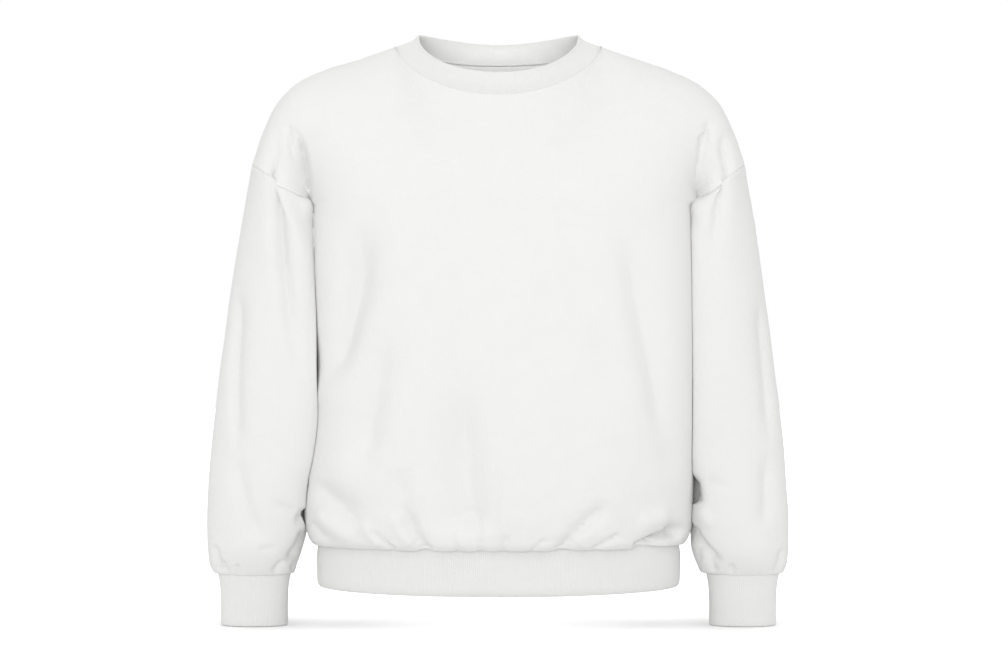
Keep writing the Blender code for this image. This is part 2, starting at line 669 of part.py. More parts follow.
def cuff(name, arm):
    down = np.array([CUFF[-1].down, 40.0, 20.0, 8.0])
    points = cuff_points(down, arm.side, YOKE_ROWS)
    return Piece(name, np.concatenate([points, arm.points[:1]]), RIB_WALL, closed=True)


def cloth_material(name, colour, roughness):
    material = bpy.data.materials.new(name)
    material.use_nodes = True
    shader = material.node_tree.nodes["Principled BSDF"]
    shader.inputs["Base Color"].default_value = colour
    shader.inputs["Roughness"].default_value = roughness
    shader.inputs["Metallic"].default_value = 0.0
    return material


def main():
    for old in list(bpy.data.objects):
        bpy.data.objects.remove(old, do_unlink=True)
    collection = bpy.data.collections.new("crewneck_sweatshirt")
    bpy.context.scene.collection.children.link(collection)

    front, back = panel("front_panel", FRONT), panel("back_panel", BACK)
    sleeves = sleeve("sleeve_right", -1), sleeve("sleeve_left", 1)
    neck, hem = neck_rib(front, back), hem_rib(front, back)
    cuffs = cuff("cuff_right", sleeves[0]), cuff("cuff_left", sleeves[1])
    fleece_pieces = (front, back, *sleeves)
    rib_pieces = (neck, hem, *cuffs)

    seams = find_seams((*fleece_pieces, *rib_pieces))
    share_normals(seams, sleeves)
    depths = {piece: np.zeros(piece.points[..., 0].size) for piece in rib_pieces}
    for piece in (front, back):
        depths[piece] = body_depths(piece).ravel()
    for arm in sleeves:
        depths[arm] = sleeve_depths(arm).ravel()
    share_depths(seams, depths)
    for piece in depths:
        piece.press(depths[piece])
        piece.measure()
    share_normals(seams, sleeves)

    fleece = cloth_material("fleece", FLEECE_WHITE, FLEECE_ROUGHNESS)
    rib = cloth_material("rib_knit", RIB_WHITE, RIB_ROUGHNESS)
    for piece in fleece_pieces:
        wall_object(piece, seams, collection, fleece)
    for piece in rib_pieces:
        wall_object(piece, seams, collection, rib)


main()
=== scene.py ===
"""A white crewneck sweatshirt, filled out as if worn: fleece panels, sleeves and ribbed bands.

The fleece pieces have the forms of the solids they stand for, a little squarer beside the
sleeves, and are drawn fine enough to carry creases, gathers and puckered seams. The ribbed
bands have their ribs knitted in as real ridges. Sizes in the tables are in millimetres,
and the meshes are in metres.

X is to the wearer's left, Y to the back, Z up, and the origin is at the base of the neck.
"""
from collections import namedtuple

import bpy
import numpy as np
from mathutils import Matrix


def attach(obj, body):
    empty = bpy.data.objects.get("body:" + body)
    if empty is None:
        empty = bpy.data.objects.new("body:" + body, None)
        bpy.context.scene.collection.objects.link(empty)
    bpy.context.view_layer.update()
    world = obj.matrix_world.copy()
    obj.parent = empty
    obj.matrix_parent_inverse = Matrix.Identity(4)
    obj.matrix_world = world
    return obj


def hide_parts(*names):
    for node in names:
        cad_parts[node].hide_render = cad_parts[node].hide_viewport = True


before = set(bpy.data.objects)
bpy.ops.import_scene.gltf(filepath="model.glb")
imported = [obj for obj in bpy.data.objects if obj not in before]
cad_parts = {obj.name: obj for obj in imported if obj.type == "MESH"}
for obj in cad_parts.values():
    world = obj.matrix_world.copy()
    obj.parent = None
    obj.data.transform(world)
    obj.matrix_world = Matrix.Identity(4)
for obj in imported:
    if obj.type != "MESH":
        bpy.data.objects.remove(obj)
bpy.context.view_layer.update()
bpy.ops.object.select_all(action="DESELECT")

MM = 0.001


def rows_of(kind, *rows):
    """A table whose rows are all of one kind."""
    return tuple(kind(*row) for row in rows)


# ======== camera
CAMERA_PLACE = (0.0066, -2.7, -0.343)
CAMERA_LENS = 80.36

camera_data = bpy.data.cameras.new("camera")
camera_data.lens = CAMERA_LENS
camera_data.sensor_width = 36.0
camera_data.dof.use_dof = False
camera = bpy.data.objects.new("camera", camera_data)
camera.location = CAMERA_PLACE
camera.rotation_euler = (np.radians(90), 0.0, 0.0)
bpy.context.scene.collection.objects.link(camera)
bpy.context.scene.camera = camera

# ======== tables of the garment
FLEECE_WALL = 1.8
RIB_WALL = 2.6

# Rings of the body's tube. down: cloth below the underarms; right, left: half widths;
# front, back: half depths; square_: 2 is an ellipse, more is boxier, on either side.
Ring = namedtuple("Ring", "down z right left front back square_right square_left")
BODY = rows_of(
    Ring,
    (0, -186, 223, 231.5, 130, 122, 2.80, 3.30),
    (60, -246, 223, 232.5, 131, 122, 3.00, 3.50),
    (134, -320, 220, 232, 131, 121, 3.00, 3.60),
    (204, -390, 218, 232, 130.5, 120.5, 3.15, 3.60),
    (254, -440, 217, 232, 130, 120, 2.95, 3.40),
    (302, -488, 223.5, 232.5, 129, 119, 2.75, 2.90),
    (330, -516, 229, 233, 128.5, 118.5, 2.60, 2.65),
    (354, -540, 232, 233, 128, 118.5, 2.35, 2.40),
    (375, -561, 232.5, 232.5, 126.5, 118, 2.25, 2.25),
    (391, -576, 230, 230, 124, 116, 2.22, 2.22),
    (403, -587, 225.5, 225.5, 120, 113, 2.20, 2.20),
    (410, -591, 220.5, 220.5, 113.5, 108.5, 2.16, 2.16),
    (414, -588, 216, 216, 107.5, 103.5, 2.14, 2.14),
)

# The shoulder seam, from the neck to the tip where the sleeve begins.
Shoulder = namedtuple("Shoulder", "along right left z")
SHOULDER = rows_of(
    Shoulder,
    (0, 123, 122, 4.5),
    (40, 161.5, 160.5, -9.6),
    (88, 207, 203, -24.5),
    (129, 243.5, 241, -43),
    (155, 262.5, 261.5, -62),
    (195, 280.5, 279.5, -97),
    (239, 294, 294, -139),
)

# The neck seam and the top edge of the neckband: how far they dip and reach. The curves
# are the powers of their dips; rib_swell lifts the top edge between its side and middle.
NECK_WIDE = 122.5
NECK_SIDE_Z = 4.5
Face = namedtuple("Face", "sign neck_reach neck_dip neck_curve rib_reach rib_dip rib_curve "
                          "rib_swell")
FRONT = Face(-1, 88, 66, 1.25, 70, 52.4, 1, 0)
BACK = Face(+1, 80, 13, 1.25, 70, 4, 4, 10)
NECK_SHARE = 0.42
NECK_RIB_SIDE = (97, 18)
NECK_RIB_BOW = 6.0
NECK_BAND_SHARE = 0.95  # how far up the neckband its fold begins

# How each column of the yoke leaves the underarm ring and meets the seam above.
Column = namedtuple("Column", "across push rise reach drop")
Handle = namedtuple("Handle", "across x y z")
HANDLE_REACH = 4 / 3
ARMHOLE_REACH = 84 * HANDLE_REACH   # the armhole's half depth, as the reach of a handle
TURN_OVER = 6.0         # the cloth below a column over which its first direction is taken
YOKE = {
    FRONT: rows_of(
        Column,
        (0.00, 0, 46, 12, 40),
        (0.20, 0, 48, 22, 38),
        (0.42, 2, 58, 48, 12),
        (0.55, 4, 62, 66, 3),
        (0.70, 10, 60, 80, 0),
        (0.82, 24, 48, 92, 0),
        (0.92, 64, 24, 104, 0),
        (1.00, ARMHOLE_REACH, 0, ARMHOLE_REACH, 0),
    ),
    BACK: rows_of(
        Column,
        (0.00, 0, 62, 34, 24),
        (0.20, 0, 62, 40, 22),
        (0.42, 2, 62, 60, 10),
        (0.55, 4, 62, 76, 3),
        (0.70, 10, 60, 88, 0),
        (0.82, 24, 48, 96, 0),
        (0.92, 64, 24, 106, 0),
        (1.00, ARMHOLE_REACH, 0, ARMHOLE_REACH, 0),
    ),
}

# Rings of the sleeves. down: cloth below the shoulder tip; in_ and out_: the lines
# nearest the body and farthest from it; front, back: how far each ring reaches.
Sleeve = namedtuple("Sleeve", "down in_right in_left in_y in_z out_right out_left out_y out_z "
                              "front back")
SLEEVE = rows_of(
    Sleeve,
    (0, 223, 231.5, 0, -186, 294, 294, 0, -139, 84, 84),
    (14, 214, 222, -8, -197, 296.6, 296.5, -0.6, -153, 83, 82.5),
    (46, 206, 212, -20, -222, 302.5, 302.5, -2, -184, 80, 79),
    (96, 204, 209, -25, -264, 311.5, 310.5, -3, -234, 76, 73),
    (168, 200, 207, -25, -326, 322.5, 320.5, -5, -305, 71, 67),
    (243, 198, 207.5, -25, -391, 332.5, 330, -6, -380, 67, 63),
    (316, 201, 214, -24, -456, 341, 338.5, -7, -452, 63, 60),
    (358, 212, 221, -24, -497, 345.2, 342.8, -7, -496, 60, 57.5),
    (384, 219.5, 226, -20, -520, 347, 344.5, -7, -520, 59, 56),
    (433, 226, 228, -14, -568, 348.6, 346.4, -8, -569, 55, 50),
    (467, 235.5, 231.5, -8, -601, 347.5, 346, -8, -603, 49, 43),
    (484, 241, 237.5, -8, -617, 345, 344, -8, -618, 41, 34),
    (494, 244.5, 242.5, -8, -625.5, 340, 339.5, -8, -626, 35, 24),
    (499, 248.5, 248.5, -8, -627, 335.5, 335.5, -8, -627, 33, 17),
)
# How softly and over what height below the underarm the sleeves come to rest on the body.
REST_SOFTNESS = 0.8
REST_FADE = 6.0
BODY_LOWEST_REST = -587.0

# The crease where each sleeve meets the body, and its run up over the chest. drop: below
# the origin; right, left: how far out its bottom is; the lifts: how much farther ahead
# than the body's side it is; slope: how steeply the sleeve's cloth rises from it.
Crease = namedtuple("Crease", "drop right left lift_right lift_left slope")
CREASE = rows_of(
    Crease,
    (98, 240.4, 245.3, 40, 28, 0.8),
    (103, 236.2, 242.5, 29, 19, 0.8),
    (110, 232.2, 237, 25, 15, 0.8),
    (118, 229.9, 234.7, 18, 17, 0.8),
    (130, 228, 233, 14, 17, 0.8),
    (148, 225.4, 231.4, 9, 16, 0.8),
    (165, 222.9, 229.8, 7, 15, 0.9),
    (186, 220.3, 228, 6, 13, 1),
    (205, 218.6, 226.6, 3, 8, 1.1),
    (230, 216.7, 225.2, 0, 2, 1.2),
    (277, 214.7, 223.4, 0, 3, 1.2),
    (348, 212, 222.4, 4, 3, 1.2),
    (395, 211, 222.4, 5, 3, 1.2),
    (430, 209.8, 223.4, 1, 2, 1.3),
    (453, 209.2, 225, 0, 0, 1.3),
    (465, 211, 226.4, 0, 0, 1.3),
    (489, 217, 227.7, 0, 0, 1.3),
    (512, 223.5, 228.6, 0, 0, 1.3),
    (536, 226.4, 229.3, 0, 0, 1.3),
    (571, 226.4, 229.3, 0, 0, 1.3),
)
CREASE_WALL = 3.0       # how steep the cut is on the body's side of the crease
CREASE_ROUND = 6.0      # how far out the crease's bottom is rounded
CREASE_SOFTNESS = 4.0   # how softly it runs out into the cloth around
CREASE_WIDEST = 0.985   # the crease is kept this far in on the body's half width
CREASE_FADE_Z = (-600, -560)
BODY_CREASE_FADE_Z = (-230, -186)

Cuff = namedtuple("Cuff", "down wide deep")
CUFF = rows_of(
    Cuff,
    (0, 43.5, 25.5),
    (12, 41.2, 24.2),
    (30, 40.2, 23.5),
    (61, 39.8, 23.3),
)
CUFF_X = 292.0
CUFF_BAND_FROM = 5.0    # how far below its seam the first of the cuff's rings is
HEM_RIB_TALL = 54.0

# -------- creases
# A trough runs through three points of a view from the front. left, right: its half
# widths on either hand as it runs; depth: how deep it is, or how high a ridge if negative;
# the fades are the shares of its length over which it rises and dies away.
Trough = namedtuple("Trough", "x0 z0 x1 z1 x2 z2 left right depth fade_in fade_out")
ARMPITS_FRONT = rows_of(
    Trough,
    (-260.5, -90, -254, -236, -226, -420, 10, 9, 15, 0.3, 0.5),
    (-227, -164, -225.5, -186, -222, -211, 8, 7, -5.5, 0.45, 0.45),
    (-242, -96, -243.5, -112, -236, -145, 4, 4, 4.5, 0.3, 0.4),
    (266, -98, 257.5, -182, 239, -300, 9, 8, 11, 0.2, 0.6),
    (233, -164, 231.5, -186, 229, -209, 7, 8, -7, 0.45, 0.45),
    (242, -90, 247, -105, 248, -130, 4.5, 4.5, 3, 0.3, 0.4),
)
ARMPITS_BACK = rows_of(
    Trough,
    (-262, -112, -256, -205, -236, -335, 10, 7, 11, 0.3, 0.5),
    (-246, -98, -245, -118, -238, -150, 5, 5, 4, 0.3, 0.4),
    (264, -106, 260, -195, 244, -322, 7, 10, 11, 0.3, 0.5),
    (250, -176, 246, -226, 236, -290, 9, 9, 5, 0.4, 0.4),
)
BODY_FRONT = rows_of(
    Trough,
    (-154, -204, -173, -307, -211, -416, 22, 17, 22, 0.35, 0.3),
    (-129, -330, -143, -411, -164, -518, 17, 22, 13, 0.4, 0.3),
    (-42, -370, -38, -474, -28, -578, 19, 30, 19, 0.5, 0.15),
    (143, -210, 171, -345, 202, -480, 22, 16, 12, 0.3, 0.35),
    (174, -393, 190, -451, 204, -508, 18, 14, 4, 0.4, 0.3),
    (-222, -508, -197.8, -533.6, -151.9, -565.8, 16, 9, 11, 0.4, 0.3),
    (-115, -492, -109, -531, -99, -572, 11, 14, 5, 0.4, 0.2),
)
BODY_BACK = rows_of(
    Trough,
    (-112, -196, -158, -300, -203, -430, 7, 18, 9, 0.3, 0.3),
    (122, -206, 160, -310, 206, -440, 16, 7, 9, 0.3, 0.3),
    (40, -380, 30, -470, 36, -560, 14, 20, 6.5, 0.4, 0.1),
    (-88, -330, -104, -420, -112, -500, 13, 15, 6, 0.4, 0.4),
    (214, -492, 188, -530, 148, -562, 15, 15, 9, 0.1, 0.3),
)
SLEEVES_FRONT = rows_of(
    Trough,
    (-305.5, -276, -312, -400, -306, -494, 11, 5, 8.5, 0.2, 0.35),
    (-309.5, -470, -299, -535, -277, -590, 10, 10, 7, 0.4, 0.3),
    (309, -290, 318, -394, 320.5, -482, 5, 10, 6.5, 0.2, 0.35),
    (316, -470, 317, -523, 313, -575, 9, 9, 6.5, 0.4, 0.3),
)
SLEEVES_BACK = rows_of(
    Trough,
    (-304, -262, -310, -390, -304, -500, 11, 5, 6, 0.25, 0.35),
    (-300, -430, -312, -510, -286, -596, 12, 12, 7, 0.4, 0.2),
    (308, -280, 316, -380, 314, -490, 5, 11, 6, 0.25, 0.35),
    (304, -420, 314, -505, 288, -592, 12, 12, 7, 0.4, 0.2),
)
FACE_FADE = 24.0        # the depth over which creases fade towards the garment's sides
ARMPIT_FADE = 56.0
ARMHOLE_FADE = 30.0     # how near an armhole the creases of one piece alone die away
HALF_PANEL = 380.0      # the cloth from the middle of a panel to its armhole, about
BEYOND_HEM = 1000.0     # a height that no crease or gather of the hem comes up to
TROUGH_POWER = 1.7      # 2 would be a round profile; less is sharper along its bottom
RIDGE_POWER = 2.0
TROUGH_REACH = 3.5      # how many half widths away a trough no longer shows
PATH_POINTS = 9

# Finer creases that the solids leave out.
FINE_BODY_FRONT = rows_of(
    Trough,
    (107, -318, 120, -366, 138, -412, 13, 13, 4, 0.4, 0.4),
    (-129, -505, -107, -499, -84, -493, 2.4, 2.4, 0.9, 0.4, 0.4),
    (-215, -543, -191, -566, -161, -581, 10, 10, -6, 0.2, 0.3),
    (-222, -560, -212, -572, -196, -585, 5, 5, 3, 0.3, 0.2),
    (-148, -566, -137, -576, -122, -589, 3, 3, 4, 0.3, 0),
    (-160, -556, -150, -570, -136, -586, 7, 7, -3, 0.3, 0.1),
    (-113, -532, -100, -562, -84, -589, 7, 6, 8, 0.5, 0),
    (-124, -548, -113, -566, -98, -584, 7, 7, -3.5, 0.3, 0.1),
    (-24, -540, -23, -562, -20, -589, 5, 4, 3.5, 0.4, 0),
    (-53, -568, -50, -578, -47, -590, 4, 4, 2.4, 0.4, 0),
    (11, -569, 8, -578, 5, -590, 4, 4, 2.6, 0.4, 0),
    (57, -575, 48, -582, 38, -590, 3.5, 3.5, 2.6, 0.4, 0),
    (131, -538, 105, -554, 74, -588, 9, 8, 8, 0.4, 0),
    (112, -563, 98, -573, 85, -583, 7, 7, -4, 0.3, 0.2),
    (142, -570, 131, -577, 113, -588, 3.5, 3.5, 4.2, 0.3, 0),
    (158, -560, 180, -557, 206, -544, 11, 11, -6, 0.3, 0.3),
    (158, -594, 186, -580, 217, -576, 6, 8, 17, 0.1, 0.12),
    (192, -571, 207, -570, 219, -579, 6, 7, 10, 0.3, 0.3),
)
FINE_SLEEVES_FRONT = rows_of(
    Trough,
    (-270, -538, -252, -544, -236, -549, 3.5, 3.5, 3, 0.4, 0.2),
    (-226, -546, -232, -558, -243, -561, 6, 6, 6, 0.2, 0.4),
    (-227, -572, -236, -594, -254, -615, 5, 6, 9, 0.2, 0.3),
    (-285, -592, -273, -594, -260, -590, 4, 4, 2, 0.4, 0.4),
    (-252, -607, -261, -616, -267, -625, 3.5, 3.5, 4, 0.3, 0.1),
    (-234, -604, -239, -613, -246, -624, 3.5, 3.5, 4, 0.3, 0.1),
    (-337, -588, -334, -605, -329, -624, 4, 4, 4.5, 0.3, 0.1),
    (-328, -607, -325, -616, -321, -625, 3.5, 3.5, 3.2, 0.4, 0.1),
    (-310, -612, -308, -618, -306, -625, 3.5, 3.5, 2.6, 0.4, 0.1),
    (228, -504, 230, -522, 232.5, -542, 7, 12, 10, 0.5, 0.08),
    (236, -545, 243, -556, 252, -572, 7, 7, -3.5, 0.3, 0.3),
    (240, -512, 256, -517, 277, -526, 8, 8, 2.6, 0.3, 0.5),
    (227, -563, 240, -591, 267, -613, 5, 6, 10, 0.2, 0.3),
    (250, -607, 253, -614, 258, -624, 3.5, 3.5, 3.2, 0.3, 0.1),
    (234, -593, 236, -601, 239, -613, 3.5, 3.5, 3.2, 0.3, 0.2),
    (272, -612, 276, -618, 279, -625, 3.5, 3.5, 2.6, 0.4, 0.1),
    (337, -592, 334.5, -607, 329, -624, 4, 4, 4, 0.3, 0.1),
)
# Where creases fade out above a seam to a rib, and along where a sleeve and the body touch.
SEAM_CREASE_FADE = 7.0
TOUCH_FADE = 10.0
TOUCH_RANGE_FADE = 30.0

# Gathers round a seam to a rib. at: the share of the way round, by the front, from the
# body's right side or a sleeve's outer side; slant: how far it wanders round as it rises.
Gather = namedtuple("Gather", "at tall half depth slant")
HEM_GATHERS = rows_of(
    Gather,
    (0.008, 26, 7, 3, 6), (0.492, 24, 7, 3, -6),
    (0.519, 30, 8, 4, -6), (0.556, 40, 9, 5, -18),
    (0.598, 30, 8, 4, -14), (0.640, 38, 8, 5, -18),
    (0.684, 26, 8, 4, -8), (0.727, 42, 9, 5, 6),
    (0.770, 30, 8, 4.5, 10), (0.815, 38, 9, 5.5, 18),
    (0.860, 28, 8, 4, 14), (0.912, 40, 9, 5, 20),
    (0.958, 30, 8, 4, 8),
)
CUFF_GATHERS = rows_of(
    Gather,
    (0.560, 26, 7, 4, -6), (0.700, 32, 7, 4, 8),
    (0.850, 26, 7, 4, -8),
)
GATHER_FROM = 4.0       # how far above the seam they begin, and grow to their full depth
GATHER_GROWS = 12.0
GATHER_FADE = 0.7       # the share of their height over which they die away

# Small gathers between the large ones, and the ranges over which each of them varies:
# place is a share of the room between two and slant in millimetres; the others are factors.
Shirring = namedtuple("Shirring", "count tall depth half seed")
HEM_SHIRRING = Shirring(64, 16, 1, 3.4, 11)
CUFF_SHIRRING = Shirring(24, 13, 1.2, 3, 5)
SHIRRING_PLACE = (-0.35, 0.35)
SHIRRING_TALL = (0.5, 1.3)
SHIRRING_HALF = (0.7, 1.3)
SHIRRING_DEPTH = (0.3, 1.2)
SHIRRING_SLANT = (-6, 6)

# -------- fineness
HALF_COLUMNS = 147      # columns from the middle of a panel to its armhole
NECK_COLUMNS = 56       # of which end on the neck seam
YOKE_ROWS = 96          # also the columns on each half of a sleeve
# Rows down the body and down a sleeve, which lie closer together from these places on.
BODY_FINE_FROM = 354
SLEEVE_FINE_FROM = 439
BODY_ROWS = np.concatenate([np.linspace(BODY[-1].down, BODY_FINE_FROM, 31),
                            np.linspace(BODY_FINE_FROM, 0, 118)[1:-1]])
SLEEVE_ROWS = np.concatenate([np.linspace(SLEEVE[-1].down, SLEEVE_FINE_FROM, 31),
                              np.linspace(SLEEVE_FINE_FROM, 0, 157)[1:]])
INSIDE_STEP = 3         # the inside keeps every third row and column
COLUMN_SAMPLES = 97
CROWDING = 0.3          # how much closer the columns lie towards the armholes
ANGLE_SAMPLES = 361
GIRTH_ROW = 20          # the row of a sleeve whose girth its gathers go by
NECK_BAND_ROWS = 8
HEM_BAND_ROWS = 16
CUFF_BAND_ROWS = 10

# -------- seams
NECK_SINK = 0.35        # how deep the cloth turns in at a seam
SHOULDER_SINK = 0.5
ARMHOLE_SINK = 0.45
SEAM_HALF = 1.2
SEAM_ROLL = 0.42        # how high it rolls up beside the seam, as a share of the sink
SEAM_ROLL_AT = 4.5      # how far from the seam the roll's top is
SEAM_ROLL_HALF = 2.6
PUCKER_HIGH = 0.4
PUCKER_LONG = 9.0
PUCKER_REACH = 12.0

# -------- slight unevenness
# Lumps of a size each way, and how far into the random values they are read.
Lumps = namedtuple("Lumps", "size shift")
PUCKER_LUMPS = Lumps(PUCKER_LONG, 3.3)
FINE_PUCKER_LUMPS = Lumps(PUCKER_LONG / 2, 0.0)
BROAD_LUMPS = Lumps((60, 60, 44), 1.7)
FOLD_LUMPS = Lumps((34, 40, 15), 5.1)
FINE_LUMPS = Lumps((11, 14, 7), 9.4)
WORN_LUMPS = Lumps((90, 90, 110), 2.9)
HEM_LUMPS = Lumps(70.0, 4.2)
WORN_MORE = 0.35        # the more, the more of the cloth shows soft folds and fine lumps
BROAD_HIGH = 0.72       # how high each kind of lump stands
FOLD_HIGH = 0.405
FINE_HIGH = 0.225
FOLD_SHARPNESS = 4.0    # how narrow the soft folds are, and how far the cloth sinks between
FOLD_LOWEST = -0.4

# -------- ribs
RIB_PITCH = 2.3
RIB_HIGH = 0.42
RIB_SAMPLES = 4         # columns of the mesh on each rib
RIB_LEVEL = 0.6         # the share of the ribs' height that the band's own wall takes up
FOLD_TURNS = (36, 72, 108, 144)     # degrees round the fold at a band's free edge
RIB_TUCK = 2.0          # how far each band runs on under the fleece
HEM_SWAY = 1.0          # how far the hem band wanders in and out
HEM_SWAY_FROM = 20.0    # and how far below its seam it does so in full
HEM_DIP = 3.0           # how much lower the middle of its free edge hangs
HEM_BELLY = 2.0         # how far it stands out beyond its seam
HEM_TURN = 8.0          # the height over which it turns in to its free edge
HEM_TURN_IN = 3.0

# -------- finish and stage
TURN = 2 * np.pi
FLOOR_Z = -0.6885
FLOOR_WIDE = 16.0
# The floor glows less round each cuff, which paints a shadow beneath it; elsewhere it is evenly
# bright.
FLOOR_GLOW = 0.8            # the glow of the floor as the camera sees it
CUFF_SHADE = 0.68           # and how much less it is beneath each cuff
CUFF_SHADE_REACH = 110.0    # the distance over which that shade falls to a half
ROOM_LIGHT = 0.89

FLEECE_COLOURS = (0.80, 0.80, 0.788), (0.82, 0.82, 0.81)
INSIDE_COLOURS = (0.78, 0.78, 0.77), (0.82, 0.82, 0.81)
RIB_COLOURS = (0.79, 0.79, 0.778), (0.81, 0.81, 0.80)

Softbox = namedtuple("Softbox", "name place turn size power")
SOFTBOXES = rows_of(
    Softbox,
    ("front_softbox", (-0.25, -3.6, 0.0), (84.7, 0, -4), (1.2, 1.2), 27),
    ("top_softbox", (0.0, -0.8, 2.4), (16, 0, 0), (2.6, 2.0), 5),
    ("neck_fill", (0.0, 0.02, -0.055), (127, 0, 0), (0.15, 0.03), 0.049),
)


# ======== reading the tables
def read(table, at):
    """Read every column of a table, on smooth curves, at places on its first column."""
    rows = np.array(table, float)
    stations, values = rows[:, 0], rows[:, 1:]
    at = np.clip(np.asarray(at, float), stations[0], stations[-1])
    steps = np.diff(stations)[:, None]
    slopes = np.diff(values, axis=0) / steps
    inner = (slopes[1:] * steps[:-1] + slopes[:-1] * steps[1:]) / (steps[1:] + steps[:-1])
    tangents = np.concatenate([slopes[:1], inner, slopes[-1:]])
    i = np.clip(np.searchsorted(stations, at) - 1, 0, len(steps) - 1)
    step = steps[i]
    t = ((at - stations[i])[..., None]) / step
    result = ((1 + 2 * t) * (1 - t) ** 2 * values[i] + t * (1 - t) ** 2 * step * tangents[i]
              + t ** 2 * (3 - 2 * t) * values[i + 1] - t ** 2 * (1 - t) * step * tangents[i + 1])
    return type(table[0])(at, *np.moveaxis(result, -1, 0))


def ease(value):
    """Rise smoothly from 0 to 1 as the value does."""
    value = np.clip(value, 0, 1)
    return value * value * (3 - 2 * value)


def unit(vectors):
    return vectors / np.maximum(np.linalg.norm(vectors, axis=-1, keepdims=True), 1e-9)


def bezier(t, a, b, c, d):
    return (1 - t) ** 3 * a + 3 * t * (1 - t) ** 2 * b + 3 * t ** 2 * (1 - t) * c + t ** 3 * d


def evenly(curves, shares):
    """Pick points at even shares of each curve's length; curves run along the first axis."""
    lengths = np.linalg.norm(np.diff(curves, axis=0), axis=-1)
    run = np.concatenate([np.zeros((1,) + lengths.shape[1:]), np.cumsum(lengths, axis=0)])
    picked = np.empty((len(shares),) + curves.shape[1:])
    for j in range(curves.shape[1]):
        for axis in range(3):
            picked[:, j, axis] = np.interp(shares * run[-1, j], run[:, j], curves[:, j, axis])
    return picked


FIRST_LATTICE = 7
LATTICE = np.random.default_rng(FIRST_LATTICE).uniform(-1, 1, (32, 32, 32))


def unevenness(points, size, shift):
    """Smooth random values between -1 and 1 in space, their lumps about one size across."""
    place = points / np.asarray(size, float) + shift
    cell = np.floor(place).astype(int)
    part = ease(place - cell)
    total = np.zeros(points.shape[:-1])
    for corner in np.ndindex(2, 2, 2):
        i, j, k = np.moveaxis((cell + corner) % len(LATTICE), -1, 0)
        weight = np.prod(np.where(np.array(corner) > 0, part, 1 - part), axis=-1)
        total += weight * LATTICE[i, j, k]
    return total


# ======== surfaces
def even_angles(across):
    """Angles round half a ring, 90 degrees at the middle, that space its points evenly."""
    ring = read(BODY, 0.0)
    angles = np.radians(np.linspace(90, 0, ANGLE_SAMPLES))
    found = []
    for wide, square in ((ring.right, ring.square_right), (ring.left, ring.square_left)):
        x = wide * np.cos(angles) ** (2 / square)
        y = ring.front * np.sin(angles) ** (2 / square)
        run = np.concatenate([[0], np.cumsum(np.hypot(np.diff(x), np.diff(y)))])
        found.append(np.interp(np.abs(across) * run[-1], run, angles))
    return np.where(across < 0, *found)


def side_of(ring, side):
    """A ring's half width and squareness on the side whose sign is given."""
    return (np.where(side < 0, ring.right, ring.left),
            np.where(side < 0, ring.square_right, ring.square_left))


def body_points(down, across, face):
    """Points of the body's tube: across is -1 at the right side seam, 1 at the left."""
    ring = read(BODY, down)
    angles = even_angles(across)
    wide, square = side_of(ring, across)
    deep = ring.front if face is FRONT else ring.back
    x = np.sign(across) * wide * np.cos(angles) ** (2 / square)
    y = face.sign * deep * np.sin(angles) ** (2 / square)
    return np.stack(np.broadcast_arrays(x, y, ring.z), axis=-1)


def top_edge(across, face):
    """The neck seam over the middle of a panel, then the shoulder seam to its tip."""
    share = np.abs(across)
    turn = np.radians(90) * (1 - np.minimum(share / NECK_SHARE, 1))
    along = np.maximum(share - NECK_SHARE, 0) / (1 - NECK_SHARE) * SHOULDER[-1].along
    seam = read(SHOULDER, along)
    on_neck = share < NECK_SHARE
    x = np.where(on_neck, NECK_WIDE * np.cos(turn), np.where(across < 0, seam.right, seam.left))
    y = face.sign * face.neck_reach * np.sin(turn)
    dip = face.neck_dip * np.sin(turn) ** face.neck_curve
    z = np.where(on_neck, NECK_SIDE_Z - dip, seam.z)
    return np.stack([np.sign(across) * x, y, z], axis=-1)


def upper_handles(across, face):
    """The curve on which the columns bend under the seam above, smooth past its corners."""
    rows = YOKE[face]
    rows = [row._replace(across=-row.across) for row in rows[:0:-1]] + list(rows)
    stations = np.array([row.across for row in rows])
    corner = top_edge(stations, face)
    table = [Handle(place, x, y + face.sign * row.reach, z - row.drop)
             for row, place, (x, y, z) in zip(rows, stations, corner)]
    handle = read(table, across)
    return np.stack([handle.x, handle.y, handle.z], axis=-1)


def crease_at(y, z, side):
    """The crease at a place's height: how far out its line is, how steep its slope.

    The third result is how far ahead of the middle its bottom is, and the last is how far
    out the body's side is at the place's own depth.
    """
    hanging = [row for row in BODY if row.z > BODY_LOWEST_REST]
    ring = read(BODY, np.interp(-z, [-row.z for row in hanging], [row.down for row in hanging]))
    crease = read(CREASE, -z)
    wide, square = side_of(ring, side)
    deep = np.where(y < 0, ring.front, ring.back)
    line = np.where(side < 0, crease.right, crease.left)
    lift = np.where(side < 0, crease.lift_right, crease.lift_left)
    inset = np.minimum(line / wide, CREASE_WIDEST)
    bottom = deep * (1 - inset ** square) ** (1 / square) - 1 + lift
    edge = wide * (1 - np.minimum(np.abs(y) / deep, 1) ** square) ** (1 / square)
    return line, crease.slope, bottom, edge


def creased(points, side, fade_z):
    """Draw the cloth in along the crease; fade_z is the height over which that begins."""
    x, y, z = np.moveaxis(points, -1, 0)
    line, slope, bottom, _ = crease_at(y, z, side)
    aside = side * x - line
    beyond = np.maximum(aside, 0)
    rise = slope * np.sqrt(beyond * (beyond + 2 * CREASE_ROUND))
    limit = bottom + rise - CREASE_WALL * np.minimum(aside, 0)
    ahead = np.maximum(np.abs(y), 1)
    kept = (ahead + limit - np.hypot(ahead - limit, CREASE_SOFTNESS)) / 2
    low, high = fade_z
    share = ease((z - low) / (high - low)) * (1 - np.clip(kept / ahead, 0, 1))
    return np.stack([x, y * (1 - share), z], axis=-1)


